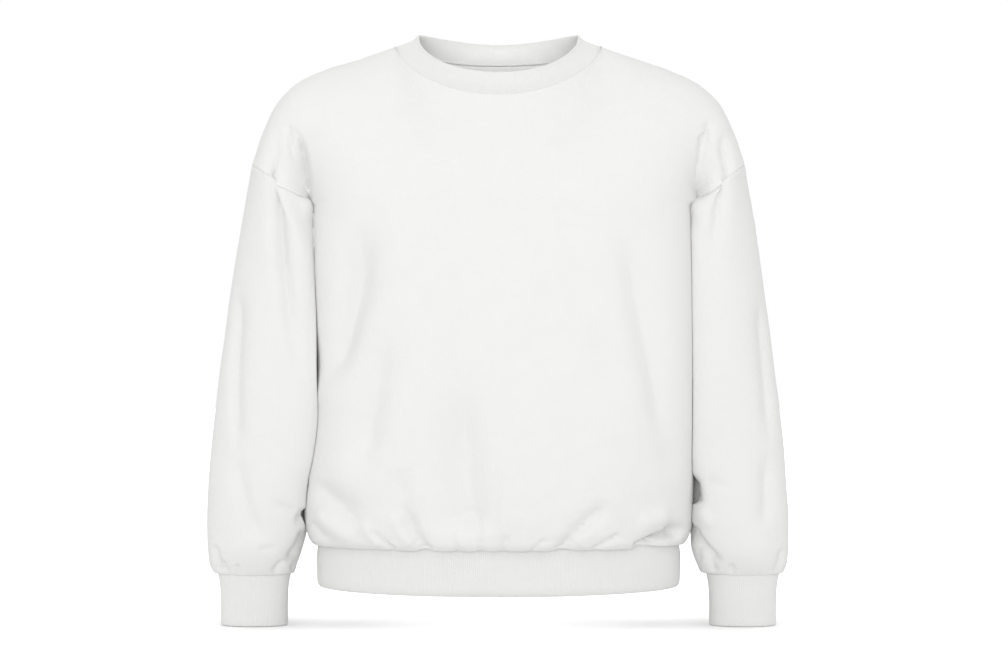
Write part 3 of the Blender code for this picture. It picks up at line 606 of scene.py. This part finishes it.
def yoke_points(shares, across, face):
    """Points above the underarms, at shares of each column's length from the bottom."""
    start = body_points(0.0, across, face)
    upward = unit(start - body_points(TURN_OVER, across, face))
    end = top_edge(across, face)
    column = read(YOKE[face], np.abs(across))
    outward = np.array([0, face.sign, 0])
    low = start + outward * column.push[:, None] + upward * column.rise[:, None]
    high = upper_handles(across, face)
    t = np.linspace(0, 1, COLUMN_SAMPLES)[:, None, None]
    curves = creased(bezier(t, start, low, high, end), np.sign(across), BODY_CREASE_FADE_Z)
    return evenly(curves, shares)


def half_ring(inner, outer, reach):
    """Half of a sleeve's ring, from its inner to its outer line, of the armhole's form."""
    swell = np.stack([np.zeros_like(reach), reach, np.zeros_like(reach)], axis=-1)
    t = np.linspace(0, 1, COLUMN_SAMPLES)[:, None, None]
    return bezier(t, inner, inner + swell, outer + swell, outer)


def ring_from_halves(ahead, behind, side, columns):
    """A closed ring run by the front first, with the given columns on each half."""
    shares = np.linspace(0, 1, columns + 1)
    ahead, behind = evenly(ahead, shares), evenly(behind, shares)
    if side < 0:
        ahead, behind = ahead[::-1], behind[::-1]
    return np.swapaxes(np.concatenate([ahead[:-1], behind[::-1][:-1]]), 0, 1)


def sleeve_points(down, side, columns):
    ring = read(SLEEVE, down)
    in_x, out_x = (ring.in_right, ring.out_right) if side < 0 else (ring.in_left, ring.out_left)
    inner = np.stack([side * in_x, ring.in_y, ring.in_z], axis=-1)
    outer = np.stack([side * out_x, ring.out_y, ring.out_z], axis=-1)
    middle = (ring.in_y + ring.out_y) / 2
    halves = [half_ring(inner, outer, reach * HANDLE_REACH)
              for reach in (-ring.front - middle, ring.back - middle)]
    return ring_from_halves(*[rest_on_body(creased(half, side, CREASE_FADE_Z), side)
                              for half in halves], side, columns)


def rest_on_body(points, side):
    """Press a sleeve flat where it lies against the body, just clear of it."""
    x, y, z = np.moveaxis(points, -1, 0)
    *_, edge = crease_at(y, z, side)
    away = side * x - edge
    pressed = edge + (away + np.hypot(away, REST_SOFTNESS)) / 2
    below = ease((BODY[0].z - z) / REST_FADE)
    x = side * (side * x + (pressed - side * x) * below)
    return np.stack([x, y, z], axis=-1)


def untouched(points, side):
    """0 where a sleeve and the body lie against each other, rising to 1 away from there."""
    x, y, z = np.moveaxis(points, -1, 0)
    *_, bottom, edge = crease_at(y, z, side)
    clear = np.maximum(side * x - edge, np.abs(y) - bottom)
    within = (ease((BODY[0].z - z) / TOUCH_RANGE_FADE)
              * ease((z - CREASE_FADE_Z[0]) / TOUCH_RANGE_FADE))
    return 1 - within * (1 - ease(clear / TOUCH_FADE))


# ======== creases
def trough_depths(troughs, x, z):
    """How deep a set of troughs is at each place of a front or back view."""
    total = np.zeros_like(x)
    for row in troughs:
        start, middle, end = np.reshape(row[:6], (3, 2))
        t = np.linspace(0, 1, PATH_POINTS)[:, None]
        path = (1 - t) ** 2 * start + t ** 2 * end
        path += 2 * t * (1 - t) * (2 * middle - (start + end) / 2)
        reach = TROUGH_REACH * max(row.left, row.right)
        near = ((x > path[:, 0].min() - reach) & (x < path[:, 0].max() + reach)
                & (z > path[:, 1].min() - reach) & (z < path[:, 1].max() + reach))
        px, pz = x[near], z[near]
        nearest, share, half = np.full_like(px, np.inf), np.zeros_like(px), np.ones_like(px)
        for i in range(len(path) - 1):
            leg = path[i + 1] - path[i]
            dx, dz = px - path[i, 0], pz - path[i, 1]
            along = np.clip((dx * leg[0] + dz * leg[1]) / (leg @ leg), 0, 1)
            away = np.hypot(dx - along * leg[0], dz - along * leg[1])
            closer = away < nearest
            nearest = np.where(closer, away, nearest)
            on_left = leg[0] * dz > leg[1] * dx
            half = np.where(closer, np.where(on_left, row.left, row.right), half)
            share = np.where(closer, (i + along) / (len(path) - 1), share)
        fade = np.ones_like(px)
        if row.fade_in:
            fade = fade * ease(share / row.fade_in)
        if row.fade_out:
            fade = fade * ease((1 - share) / row.fade_out)
        power = TROUGH_POWER if row.depth > 0 else RIDGE_POWER
        total[near] += row.depth * fade * np.exp(-(nearest / half) ** power)
    return total


def faced_depths(points, front_troughs, back_troughs, fade):
    """Troughs of the front where a point is in front, of the back where it is behind."""
    x, y, z = np.moveaxis(points, -1, 0)
    return (ease(-y / fade) * trough_depths(front_troughs, x, z)
            + ease(y / fade) * trough_depths(back_troughs, x, z))


def gather_depths(gathers, at, girth, height):
    """Gathers round a seam: at is the share round the ring, height is above the seam."""
    total = np.zeros(np.broadcast(at, height).shape)
    for row in gathers:
        rise = height / row.tall
        away = (at - row.at + 0.5) % 1 - 0.5
        away = away * girth - row.slant * np.clip(rise, 0, 1)
        grow = ease((height - GATHER_FROM) / GATHER_GROWS) * ease((1 - rise) / GATHER_FADE)
        total += row.depth * grow * np.exp(-(away / row.half) ** 2)
    return total


def shirred(row):
    """Small gathers between the large ones, unevenly placed."""
    chance = np.random.default_rng(row.seed)
    places = (np.arange(row.count) + chance.uniform(*SHIRRING_PLACE, row.count)) / row.count
    return [Gather(place, row.tall * chance.uniform(*SHIRRING_TALL),
                   row.half * chance.uniform(*SHIRRING_HALF),
                   row.depth * chance.uniform(*SHIRRING_DEPTH), chance.uniform(*SHIRRING_SLANT))
            for place in places]


def seam_depths(distance, sink):
    """The groove of a seam and the roll of cloth beside it."""
    roll = SEAM_ROLL * np.exp(-((distance - SEAM_ROLL_AT) / SEAM_ROLL_HALF) ** 2)
    return sink * (np.exp(-(distance / SEAM_HALF) ** 2) - roll)


def pucker_depths(points, distance):
    """Small puckers that a seam draws into the cloth beside it."""
    ripple = unevenness(points, *PUCKER_LUMPS) + unevenness(points, *FINE_PUCKER_LUMPS) / 2
    return PUCKER_HIGH * ripple * np.exp(-(distance / PUCKER_REACH) ** 2)


def crinkle_depths(points):
    """The slight unevenness of soft fleece that has been worn and folded."""
    worn = ease(unevenness(points, *WORN_LUMPS) + WORN_MORE)
    folds = 1 - np.abs(unevenness(points, *FOLD_LUMPS)) * FOLD_SHARPNESS
    return (BROAD_HIGH * unevenness(points, *BROAD_LUMPS)
            + FOLD_HIGH * worn * np.clip(folds, FOLD_LOWEST, 1)
            + FINE_HIGH * worn * unevenness(points, *FINE_LUMPS))


# ======== meshes
def cells(grid):
    """The four corners of each cell of a grid, in order round it."""
    corners = grid[:-1, :-1], grid[:-1, 1:], grid[1:, 1:], grid[1:, :-1]
    return np.stack(corners, axis=2).reshape(-1, 4, *grid.shape[2:])


def cloth_map(points, closed):
    """Each point's place on the flat cloth, in metres, by the mean lengths of its rows."""
    if closed:
        points = np.concatenate([points, points[:, :1]], axis=1)
    across = np.linalg.norm(np.diff(points, axis=1), axis=-1).mean(axis=0)
    upward = np.linalg.norm(np.diff(points, axis=0), axis=-1).mean(axis=1)
    u = np.concatenate([[0], np.cumsum(across)])
    v = np.concatenate([[0], np.cumsum(upward)])
    return np.stack(np.broadcast_arrays(u[None, :], v[:, None]), axis=-1) * MM


def new_object(name, points, faces, flat, materials):
    """An object of points in millimetres; flat holds each face corner's place as cloth."""
    mesh = bpy.data.meshes.new(name)
    mesh.from_pydata((points * MM).tolist(), [], faces)
    for material in materials:
        mesh.materials.append(material)
    layer = mesh.uv_layers.new(name="cloth")
    layer.data.foreach_set("uv", flat.astype(np.float32).ravel())
    mesh.shade_smooth()
    made = bpy.data.objects.new(name, mesh)
    bpy.context.scene.collection.objects.link(made)
    return made


# ======== sewn pieces
class Piece:
    """A grid of points on a piece's outer face: rows go up, columns run round by the front."""

    def __init__(self, name, points, closed=False):
        self.name = name
        self.points = points
        self.closed = closed
        self.measure()

    def index(self, step=1):
        """The numbers of the grid's points; a ring's first column comes again at its end."""
        rows, columns = self.points.shape[:2]
        index = np.arange(rows * columns).reshape(rows, columns)
        if self.closed:
            index = np.concatenate([index, index[:, :1]], axis=1)
        return index[::step, ::step]

    def borders(self, step=1):
        """Loops of point numbers round the piece, which lies on their left."""
        index = self.index(step)
        if self.closed:
            return index[0, :-1], index[-1, :-1][::-1]
        return (np.concatenate([index[0, :-1], index[:-1, -1], index[-1, :0:-1],
                                index[:0:-1, 0]]),)

    def measure(self):
        """Sum the faces' normals at each point."""
        points = self.points.reshape(-1, 3)
        corners = cells(self.index())
        diagonals = points[corners[:, 2:]] - points[corners[:, :2]]
        crossed = np.cross(diagonals[:, 0], diagonals[:, 1])
        self.weighted = np.zeros_like(points)
        for corner in corners.T:
            for axis in range(3):
                self.weighted[:, axis] += np.bincount(corner, crossed[:, axis], len(points))
        self.normals = unit(self.weighted)

    def press(self, depths):
        """Press the surface in by the depths given for its points."""
        self.points = self.points - (self.normals * depths.reshape(-1, 1)).reshape(
            self.points.shape)


def find_seams(pieces):
    """Sets of (piece, point number) that lie at one place, where pieces are sewn."""
    places = {}
    for piece in pieces:
        points = piece.points.reshape(-1, 3)
        for loop in piece.borders():
            for number in loop:
                key = tuple(int(v) for v in np.round(points[number] * 100))
                places.setdefault(key, []).append((piece, number))
    return [place for place in places.values() if len(place) > 1]


def share_normals(seams):
    """Give the points of each seam one normal, so both sides of it move together."""
    for place in seams:
        shared = unit(sum(unit(piece.weighted[number]) for piece, number in place))
        for piece, number in place:
            piece.normals[number] = shared


def share_depths(seams, depths):
    """Give the points of each seam one depth, the mean of what their pieces ask for."""
    for place in seams:
        mean = np.mean([depths[piece][number] for piece, number in place])
        for piece, number in place:
            depths[piece][number] = mean


def cloth_object(piece, face_material, inside_material):
    """A fleece piece: its fine face, a plainer inside and the narrow edges between them."""
    outer = piece.points.reshape(-1, 3)
    full, plain = piece.index(), piece.index(INSIDE_STEP)
    kept = np.unique(plain)
    number = np.full(len(outer), -1)
    number[kept] = np.arange(len(kept)) + len(outer)
    inner = (outer - piece.normals * FLEECE_WALL)[kept]
    flat = cloth_map(piece.points, piece.closed)
    face, inside = cells(full), cells(number[plain])[:, ::-1]
    edges = []
    for fine, coarse in zip(piece.borders(), piece.borders(INSIDE_STEP)):
        starts = {point: place for place, point in enumerate(fine)}
        for here, onward in zip(coarse, np.roll(coarse, -1)):
            a, b, c, d = (fine[(starts[here] + k) % len(fine)] for k in range(INSIDE_STEP + 1))
            low, high = number[here], number[onward]
            edges += [(b, a, low), (c, b, low), (c, low, high), (d, c, high)]
    flats = np.zeros((len(outer) + len(inner), 2))
    flats[full] = flat
    flats[number[kept]] = flats[kept]
    corner_flats = np.concatenate([
        cells(flat).reshape(-1, 2),
        cells(flat[::INSIDE_STEP, ::INSIDE_STEP])[:, ::-1].reshape(-1, 2),
        flats[np.array(edges)].reshape(-1, 2)])
    made = new_object(piece.name, np.concatenate([outer, inner]),
                      face.tolist() + inside.tolist() + edges, corner_flats,
                      (face_material, inside_material))
    slots = np.zeros(len(made.data.polygons), np.int32)
    slots[len(face):] = 1
    made.data.polygons.foreach_set("material_index", slots)
    return made


# ======== fleece pieces
def columns_across():
    """Column places from the right armhole to the left: even over the neck and beyond."""
    neck = np.linspace(0, NECK_SHARE, NECK_COLUMNS + 1)
    even = np.linspace(0, 1, HALF_COLUMNS - NECK_COLUMNS + 1)[1:]
    shoulder = NECK_SHARE + (1 - NECK_SHARE) * (even + CROWDING * even * (1 - even))
    half = np.concatenate([neck, shoulder])
    return np.concatenate([-half[:0:-1], half])


def panel(name, face):
    """A body panel: rows of the tube below the underarms, then the yoke's columns."""
    across = columns_across() * -face.sign
    below = creased(body_points(BODY_ROWS[:, None], across, face), np.sign(across),
                    BODY_CREASE_FADE_Z)
    above = yoke_points(np.linspace(0, 1, YOKE_ROWS + 1), across, face)
    piece = Piece(name, np.concatenate([below, above]))
    piece.across = across
    piece.face = face
    piece.drawn = piece.points
    return piece


def body_depths(piece):
    """Creases of a body panel, its gathers above the hem band and its seams."""
    points = piece.points
    rows, columns = points.shape[:2]
    rows_below = len(BODY_ROWS)
    near_armhole = np.zeros((rows, columns))
    near_armhole[rows_below:] = 1
    to_armhole = (1 - np.abs(piece.across)) * HALF_PANEL
    fade = np.where(near_armhole > 0, ease(to_armhole / ARMHOLE_FADE), 1)
    own = faced_depths(points, BODY_FRONT + FINE_BODY_FRONT, BODY_BACK, FACE_FADE) * fade
    crossing = near_armhole * faced_depths(points, ARMPITS_FRONT, ARMPITS_BACK, ARMPIT_FADE)
    height = np.full((rows, 1), BEYOND_HEM)
    height[:rows_below, 0] = BODY[-1].down - BODY_ROWS
    own = own * ease(height / SEAM_CREASE_FADE)
    share = (piece.across * -piece.face.sign + 1) / 4
    at = share if piece.face is FRONT else 0.5 + share
    girth = np.sum(np.linalg.norm(np.diff(points[0], axis=0), axis=-1)) * 2
    gathers = gather_depths(HEM_GATHERS, at, girth, height)
    gathers += gather_depths(shirred(HEM_SHIRRING), at, girth, height)

    climb = np.linalg.norm(np.diff(points, axis=0), axis=-1)
    above = np.concatenate([np.zeros((1, columns)), np.cumsum(climb, axis=0)])
    below_top = above[-1] - above
    to_side = np.broadcast_to(to_armhole, (rows, columns))
    top_sink = np.where(np.abs(piece.across) < NECK_SHARE, NECK_SINK, SHOULDER_SINK)
    grooves = seam_depths(below_top, top_sink) + seam_depths(to_side, ARMHOLE_SINK)
    puckers = pucker_depths(points, np.minimum(below_top, to_side)) * near_armhole
    slight = (puckers + crinkle_depths(points)) * untouched(points, np.sign(piece.across))
    return own + crossing + gathers + grooves + slight


def sleeve(name, side):
    down = SLEEVE_ROWS
    piece = Piece(name, sleeve_points(down, side, YOKE_ROWS), closed=True)
    piece.down = down[:, None]
    piece.side = side
    return piece


def sleeve_depths(piece):
    """Creases of a sleeve, its gathers above the cuff and its seams."""
    points = piece.points
    columns = points.shape[1]
    own = ease(piece.down / ARMHOLE_FADE) * faced_depths(
        points, SLEEVES_FRONT + FINE_SLEEVES_FRONT, SLEEVES_BACK, FACE_FADE)
    crossing = faced_depths(points, ARMPITS_FRONT, ARMPITS_BACK, ARMPIT_FADE)
    at = np.arange(columns) / columns
    if piece.side > 0:
        at = (0.5 - at) % 1
    girth = np.sum(np.linalg.norm(np.diff(points[GIRTH_ROW], axis=0), axis=-1))
    height = SLEEVE[-1].down - piece.down
    own = own * ease(height / SEAM_CREASE_FADE)
    gathers = gather_depths(CUFF_GATHERS, at, girth, height)
    gathers += gather_depths(shirred(CUFF_SHIRRING), at, girth, height)
    grooves = seam_depths(piece.down, ARMHOLE_SINK)
    slight = pucker_depths(points, piece.down) + crinkle_depths(points)
    return own + crossing + gathers + grooves + slight * untouched(points, piece.side)


# ======== ribbed bands
def resampled(loop, count):
    """Even points round a closed loop."""
    closed = np.concatenate([loop, loop[:1]])[:, None, :]
    return evenly(closed, np.arange(count) / count)[:, 0]


def ribs_round(seam):
    """How many ribs fit round a seam."""
    closed = np.concatenate([seam, seam[:1]])
    return int(np.sum(np.linalg.norm(np.diff(closed, axis=0), axis=-1)) / RIB_PITCH)


def band_object(name, rows, material):
    """A band of rib folded double: its face, the fold at its free edge, and its back.

    The rows run from the seam to the free edge, and their points so that onward and
    free-edgeward make a frame whose third side is the face's.
    """
    onward = np.roll(rows, -1, axis=1) - np.roll(rows, 1, axis=1)
    tall = np.gradient(rows, axis=0)
    out = unit(np.cross(onward, tall))
    phase = np.pi * np.arange(rows.shape[1]) / RIB_SAMPLES
    thick = RIB_WALL / 2 + RIB_HIGH * (np.abs(np.cos(phase)) - RIB_LEVEL)[:, None]
    core = rows - out * RIB_WALL / 2
    freeward = unit(tall[-1])
    fold = [core[-1] + thick * (out[-1] * np.cos(turn) + freeward * np.sin(turn))
            for turn in np.radians(FOLD_TURNS)]
    points = np.concatenate([core + out * thick, fold, (core - out * thick)[::-1]])
    index = np.arange(points.shape[0] * points.shape[1]).reshape(points.shape[:2])
    index = np.concatenate([index, index[:1]])
    index = np.concatenate([index, index[:, :1]], axis=1)
    flat = cloth_map(np.concatenate([points, points[:1]]), True)
    return new_object(name, points.reshape(-1, 3), cells(index).tolist(),
                      cells(flat).reshape(-1, 2), (material,))


def tucked(seam, inward, onward):
    """A first row of a band that lies under the fleece at its seam."""
    return seam + inward * RIB_WALL / 2 - onward * RIB_TUCK


def hem_band(front, back, material):
    seam, even = [np.concatenate([a[0, :-1], b[0, :-1]])[::-1]
                  for a, b in ((front.points, back.points), (front.drawn, back.drawn))]
    count = ribs_round(even) * RIB_SAMPLES
    seam, even = resampled(seam, count), resampled(even, count)
    level = np.array([1, 1, 0])
    down = np.array([0, 0, -1])
    outward = unit(even * level)
    dip = HEM_DIP * (even[:, 1:2] / BODY[-1].front) ** 2 * down
    rows = [tucked(seam, -outward, down)]
    for drop in np.linspace(0, HEM_RIB_TALL - RIB_WALL / 2, HEM_BAND_ROWS):
        free = ease(drop / HEM_SWAY_FROM)
        row = seam + (even - seam) * free + drop * down + dip * drop / HEM_RIB_TALL
        turned = np.maximum(drop - HEM_RIB_TALL + HEM_TURN, 0) / HEM_TURN
        out = HEM_SWAY * unevenness(row, *HEM_LUMPS)[:, None] + HEM_BELLY
        rows.append(row + (out * free - HEM_TURN_IN * turned ** 2) * outward)
    return band_object("hem_band", np.stack(rows), material)


def neck_band(front, back, material):
    beyond_neck = HALF_COLUMNS - NECK_COLUMNS
    run = slice(beyond_neck, 2 * HALF_COLUMNS - beyond_neck)
    seam = np.concatenate([front.points[-1, run], back.points[-1, run]])
    seam = resampled(seam, ribs_round(seam) * RIB_SAMPLES)
    wide, side_z = NECK_RIB_SIDE
    in_front = seam[:, 1] < 0
    reach, top_reach, top_dip, curve, swell = [
        np.where(in_front, getattr(FRONT, name), getattr(BACK, name))
        for name in ("neck_reach", "rib_reach", "rib_dip", "rib_curve", "rib_swell")]
    depth = np.minimum(np.abs(seam[:, 1]) / reach, 1)
    top_z = side_z - top_dip * depth ** curve + swell * depth * (1 - depth)
    top = np.stack([seam[:, 0] / NECK_WIDE * wide, np.sign(seam[:, 1]) * depth * top_reach,
                    top_z], axis=-1)
    inward = unit(seam * np.array([-1, -1, 0]))
    rows = [seam + (top - seam) * t + 4 * t * (1 - t) * NECK_RIB_BOW * inward
            for t in np.linspace(0, NECK_BAND_SHARE, NECK_BAND_ROWS)]
    rows.insert(0, tucked(seam, inward, unit(top - seam)))
    return band_object("neck_band", np.stack(rows), material)


def cuff_band(name, arm, material):
    seam = arm.points[0][::-1]
    count = ribs_round(seam) * RIB_SAMPLES
    down = np.linspace(CUFF_BAND_FROM, CUFF[-1].down - RIB_WALL / 2, CUFF_BAND_ROWS)
    ring = read(CUFF, down)
    start = SLEEVE[-1]
    z = start.in_z - down
    inner = np.stack([arm.side * (CUFF_X - ring.wide), np.full_like(z, start.in_y), z], axis=-1)
    outer = np.stack([arm.side * (CUFF_X + ring.wide), np.full_like(z, start.in_y), z], axis=-1)
    halves = [half_ring(inner, outer, reach * HANDLE_REACH) for reach in (-ring.deep, ring.deep)]
    rings = ring_from_halves(*halves, arm.side, YOKE_ROWS)
    middle = np.array([arm.side * CUFF_X, start.in_y, start.in_z])
    down = np.array([0, 0, -1])
    loops = [tucked(seam, unit(middle - seam), down), seam] + [loop[::-1] for loop in rings]
    return band_object(name, np.stack([resampled(loop, count) for loop in loops]), material)


# ======== materials
def operators(operation):
    """An operator of sockets with sockets or numbers, and its reflected form."""
    def plain(self, other):
        return self.math(operation, self, other)

    def reflected(self, other):
        return self.math(operation, other, self)

    return plain, reflected


class Value:
    """A shader socket that can be used in arithmetic; each operation adds its node."""

    def __init__(self, finish, socket):
        self.finish = finish
        self.socket = socket

    def math(self, operation, *values):
        return self.finish.add("ShaderNodeMath", {"operation": operation},
                               dict(enumerate(values)))

    __add__, __radd__ = operators("ADD")
    __sub__, __rsub__ = operators("SUBTRACT")
    __mul__, __rmul__ = operators("MULTIPLY")
    __truediv__, __rtruediv__ = operators("DIVIDE")
    __pow__, __rpow__ = operators("POWER")

    def sine(self):
        return self.math("SINE", self)

    def size(self):
        return self.math("ABSOLUTE", self)

    def part(self):
        return self.math("FRACT", self)


class Finish:
    """A material under construction."""

    def __init__(self, name):
        self.material = bpy.data.materials.new(name)
        self.material.use_nodes = True
        self.tree = self.material.node_tree
        self.shader = self.tree.nodes["Principled BSDF"]

    def add(self, kind, settings, values, output=0):
        """Add a node: its settings first, then the values or links of its sockets."""
        node = self.tree.nodes.new(kind)
        for key, value in settings.items():
            setattr(node, key, value)
        for key, value in values.items():
            if isinstance(value, Value):
                self.tree.links.new(value.socket, node.inputs[key])
            else:
                node.inputs[key].default_value = value
        return Value(self, node.outputs[output])

    def feed(self, name, value):
        self.tree.links.new(value.socket, self.shader.inputs[name])

    def keep(self, name, value):
        self.shader.inputs[name].default_value = value

    def flat_place(self):
        """The place on the flat cloth, in millimetres."""
        place = self.add("ShaderNodeUVMap", {"uv_map": "cloth"}, {})
        u = self.add("ShaderNodeSeparateXYZ", {}, {0: place}, "X")
        v = self.add("ShaderNodeSeparateXYZ", {}, {0: place}, "Y")
        return u * 1000.0, v * 1000.0

    def mottle(self, size, detail):
        """Uneven values about 0.5, their lumps of a size in millimetres."""
        place = self.add("ShaderNodeTexCoord", {}, {}, "Object")
        return self.add("ShaderNodeTexNoise", {}, {"Vector": place, "Scale": 1000.0 / size,
                                                   "Detail": detail})

    def mixed(self, factor, first, second):
        """A colour between two, by a factor from 0 to 1; the node's sockets go by number."""
        return self.add("ShaderNodeMix", {"data_type": "RGBA"},
                        {0: factor, 6: (*first, 1.0), 7: (*second, 1.0)}, output=2)

    def bump(self, height, distance):
        self.feed("Normal", self.add("ShaderNodeBump", {}, {"Height": height,
                                                            "Distance": distance * MM}))


def knitted(finish, wale, course):
    """The face of plain knitting: columns of V-shaped stitches, about -1 to 1 high."""
    u, v = finish.flat_place()
    arm = ((u / wale).part() - 0.5).size() * 2.0
    stitch = ((v / course - arm * 0.6) * TURN).sine()
    return stitch * 0.5 - arm ** 3.0


def soft_knit(name, colours, lump):
    """What the fleece's face and the rib share: faint patches, and a nap of soft lumps."""
    finish = Finish(name)
    lumps = finish.mottle(size=lump, detail=3.0)
    patches = finish.mottle(size=30.0, detail=2.0)
    finish.feed("Base Color", finish.mixed(patches, *colours))
    finish.feed("Roughness", 0.88 + lumps * 0.1)
    finish.keep("Specular IOR Level", 0.25)
    return finish, lumps


def fleece_face():
    finish, lumps = soft_knit("fleece_face", FLEECE_COLOURS, lump=4.0)
    stitches = knitted(finish, wale=0.95, course=0.75)
    finish.bump(stitches * 0.10 + lumps, distance=0.4)
    return finish.material


def fleece_inside():
    finish = Finish("fleece_inside")
    nap = finish.mottle(size=1.4, detail=4.0)
    finish.feed("Base Color", finish.mixed(nap, *INSIDE_COLOURS))
    finish.keep("Roughness", 0.95)
    finish.keep("Specular IOR Level", 0.15)
    finish.bump(nap, distance=0.8)
    return finish.material


def rib_knit():
    finish, lumps = soft_knit("rib_knit", RIB_COLOURS, lump=3.0)
    _, v = finish.flat_place()
    courses = (v * TURN).sine()
    finish.bump(courses * 0.15 + lumps * 0.6, distance=0.3)
    return finish.material


def floor_finish():
    finish = Finish("pale_floor")
    finish.keep("Base Color", (0.9, 0.9, 0.9, 1.0))
    finish.keep("Roughness", 1.0)
    finish.keep("Specular IOR Level", 0.0)
    place = finish.add("ShaderNodeTexCoord", {}, {}, "Object")
    aside = finish.add("ShaderNodeSeparateXYZ", {}, {0: place}, "X").size() - CUFF_X * MM
    behind = finish.add("ShaderNodeSeparateXYZ", {}, {0: place}, "Y") - SLEEVE[-1].in_y * MM
    away = (aside * aside + behind * behind) / (CUFF_SHADE_REACH * MM) ** 2
    # Painted shadow: the glow is lowered round each cuff, most of all right beneath it.
    glow = FLOOR_GLOW - CUFF_SHADE * 2.0 ** (away * -1.0)
    seen = finish.add("ShaderNodeLightPath", {}, {}, "Is Camera Ray")
    finish.keep("Emission Strength", 1.0)
    finish.feed("Emission Color", finish.add("ShaderNodeCombineColor", {}, {
        "Red": glow * seen, "Green": glow * seen, "Blue": glow * seen}))
    return finish.material


# ======== the garment
front, back = panel("front_panel_cloth", FRONT), panel("back_panel_cloth", BACK)
arms = sleeve("sleeve_right_cloth", -1), sleeve("sleeve_left_cloth", 1)
fleece_pieces = (front, back, *arms)
seams = find_seams(fleece_pieces)
share_normals(seams)
depths = {front: body_depths(front).ravel(), back: body_depths(back).ravel()}
for arm in arms:
    depths[arm] = sleeve_depths(arm).ravel()
share_depths(seams, depths)
for piece in fleece_pieces:
    piece.press(depths[piece])
    piece.measure()
share_normals(seams)

face_cloth, inside_cloth, rib_cloth = fleece_face(), fleece_inside(), rib_knit()
made = {}
for piece, node in zip(fleece_pieces, ("front_panel", "back_panel", "sleeve_right",
                                       "sleeve_left")):
    made[node] = cloth_object(piece, face_cloth, inside_cloth)
made["hem_rib"] = hem_band(front, back, rib_cloth)
made["neck_rib"] = neck_band(front, back, rib_cloth)
made["cuff_right"] = cuff_band("cuff_right_band", arms[0], rib_cloth)
made["cuff_left"] = cuff_band("cuff_left_band", arms[1], rib_cloth)

# The cut of what shows: width all round on a tube, length, and area where it isn't square.
Cut = namedtuple("Cut", "node slot width long area held")
CUTS = rows_of(
    Cut,
    ("front_panel", "fleece", 0.66, 0.66, 0.365, "hung"),
    ("back_panel", "fleece", 0.66, 0.69, 0.368, "hung"),
    ("sleeve_right", "fleece", 0.42, 0.50, 0.182, "hung"),
    ("sleeve_left", "fleece", 0.42, 0.50, 0.175, "hung"),
    ("hem_rib", "rib_knit", 1.08, 0.057, None, "stretched"),
    ("neck_rib", "rib_knit", 0.62, 0.035, None, "stretched"),
    ("cuff_right", "rib_knit", 0.22, 0.061, None, "stretched"),
    ("cuff_left", "rib_knit", 0.22, 0.061, None, "stretched"),
)
for cut in CUTS:
    piece = made[cut.node]
    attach(piece, "root")
    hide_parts(cut.node)

# ======== stage
bpy.ops.mesh.primitive_plane_add(size=FLOOR_WIDE, location=(0.0, 0.0, FLOOR_Z))
floor = bpy.context.object
floor.name = "floor"
bpy.ops.object.transform_apply(location=True, rotation=False, scale=False)
floor.data.materials.append(floor_finish())

# Softboxes that the camera doesn't see; each shines down its own Z.
for box in SOFTBOXES:
    bpy.ops.object.light_add(type="AREA", location=box.place, rotation=np.radians(box.turn))
    light = bpy.context.object
    light.name = box.name
    light.visible_camera = False
    light.data.shape = "RECTANGLE"
    light.data.size, light.data.size_y = box.size
    light.data.energy = box.power

# The room is white to the camera and a little dimmer as a light.
world = bpy.data.worlds.new("white_room")
world.use_nodes = True
nodes, links = world.node_tree.nodes, world.node_tree.links
backdrop = nodes["Background"]
backdrop.inputs["Color"].default_value = (1.0, 1.0, 1.0, 1.0)
seen = nodes.new("ShaderNodeLightPath")
brightness = nodes.new("ShaderNodeMapRange")
brightness.inputs["To Min"].default_value = ROOM_LIGHT
brightness.inputs["To Max"].default_value = 1.0
links.new(seen.outputs["Is Camera Ray"], brightness.inputs["Value"])
links.new(brightness.outputs["Result"], backdrop.inputs["Strength"])
bpy.context.scene.world = world
bpy.context.scene.view_settings.view_transform = "Standard"
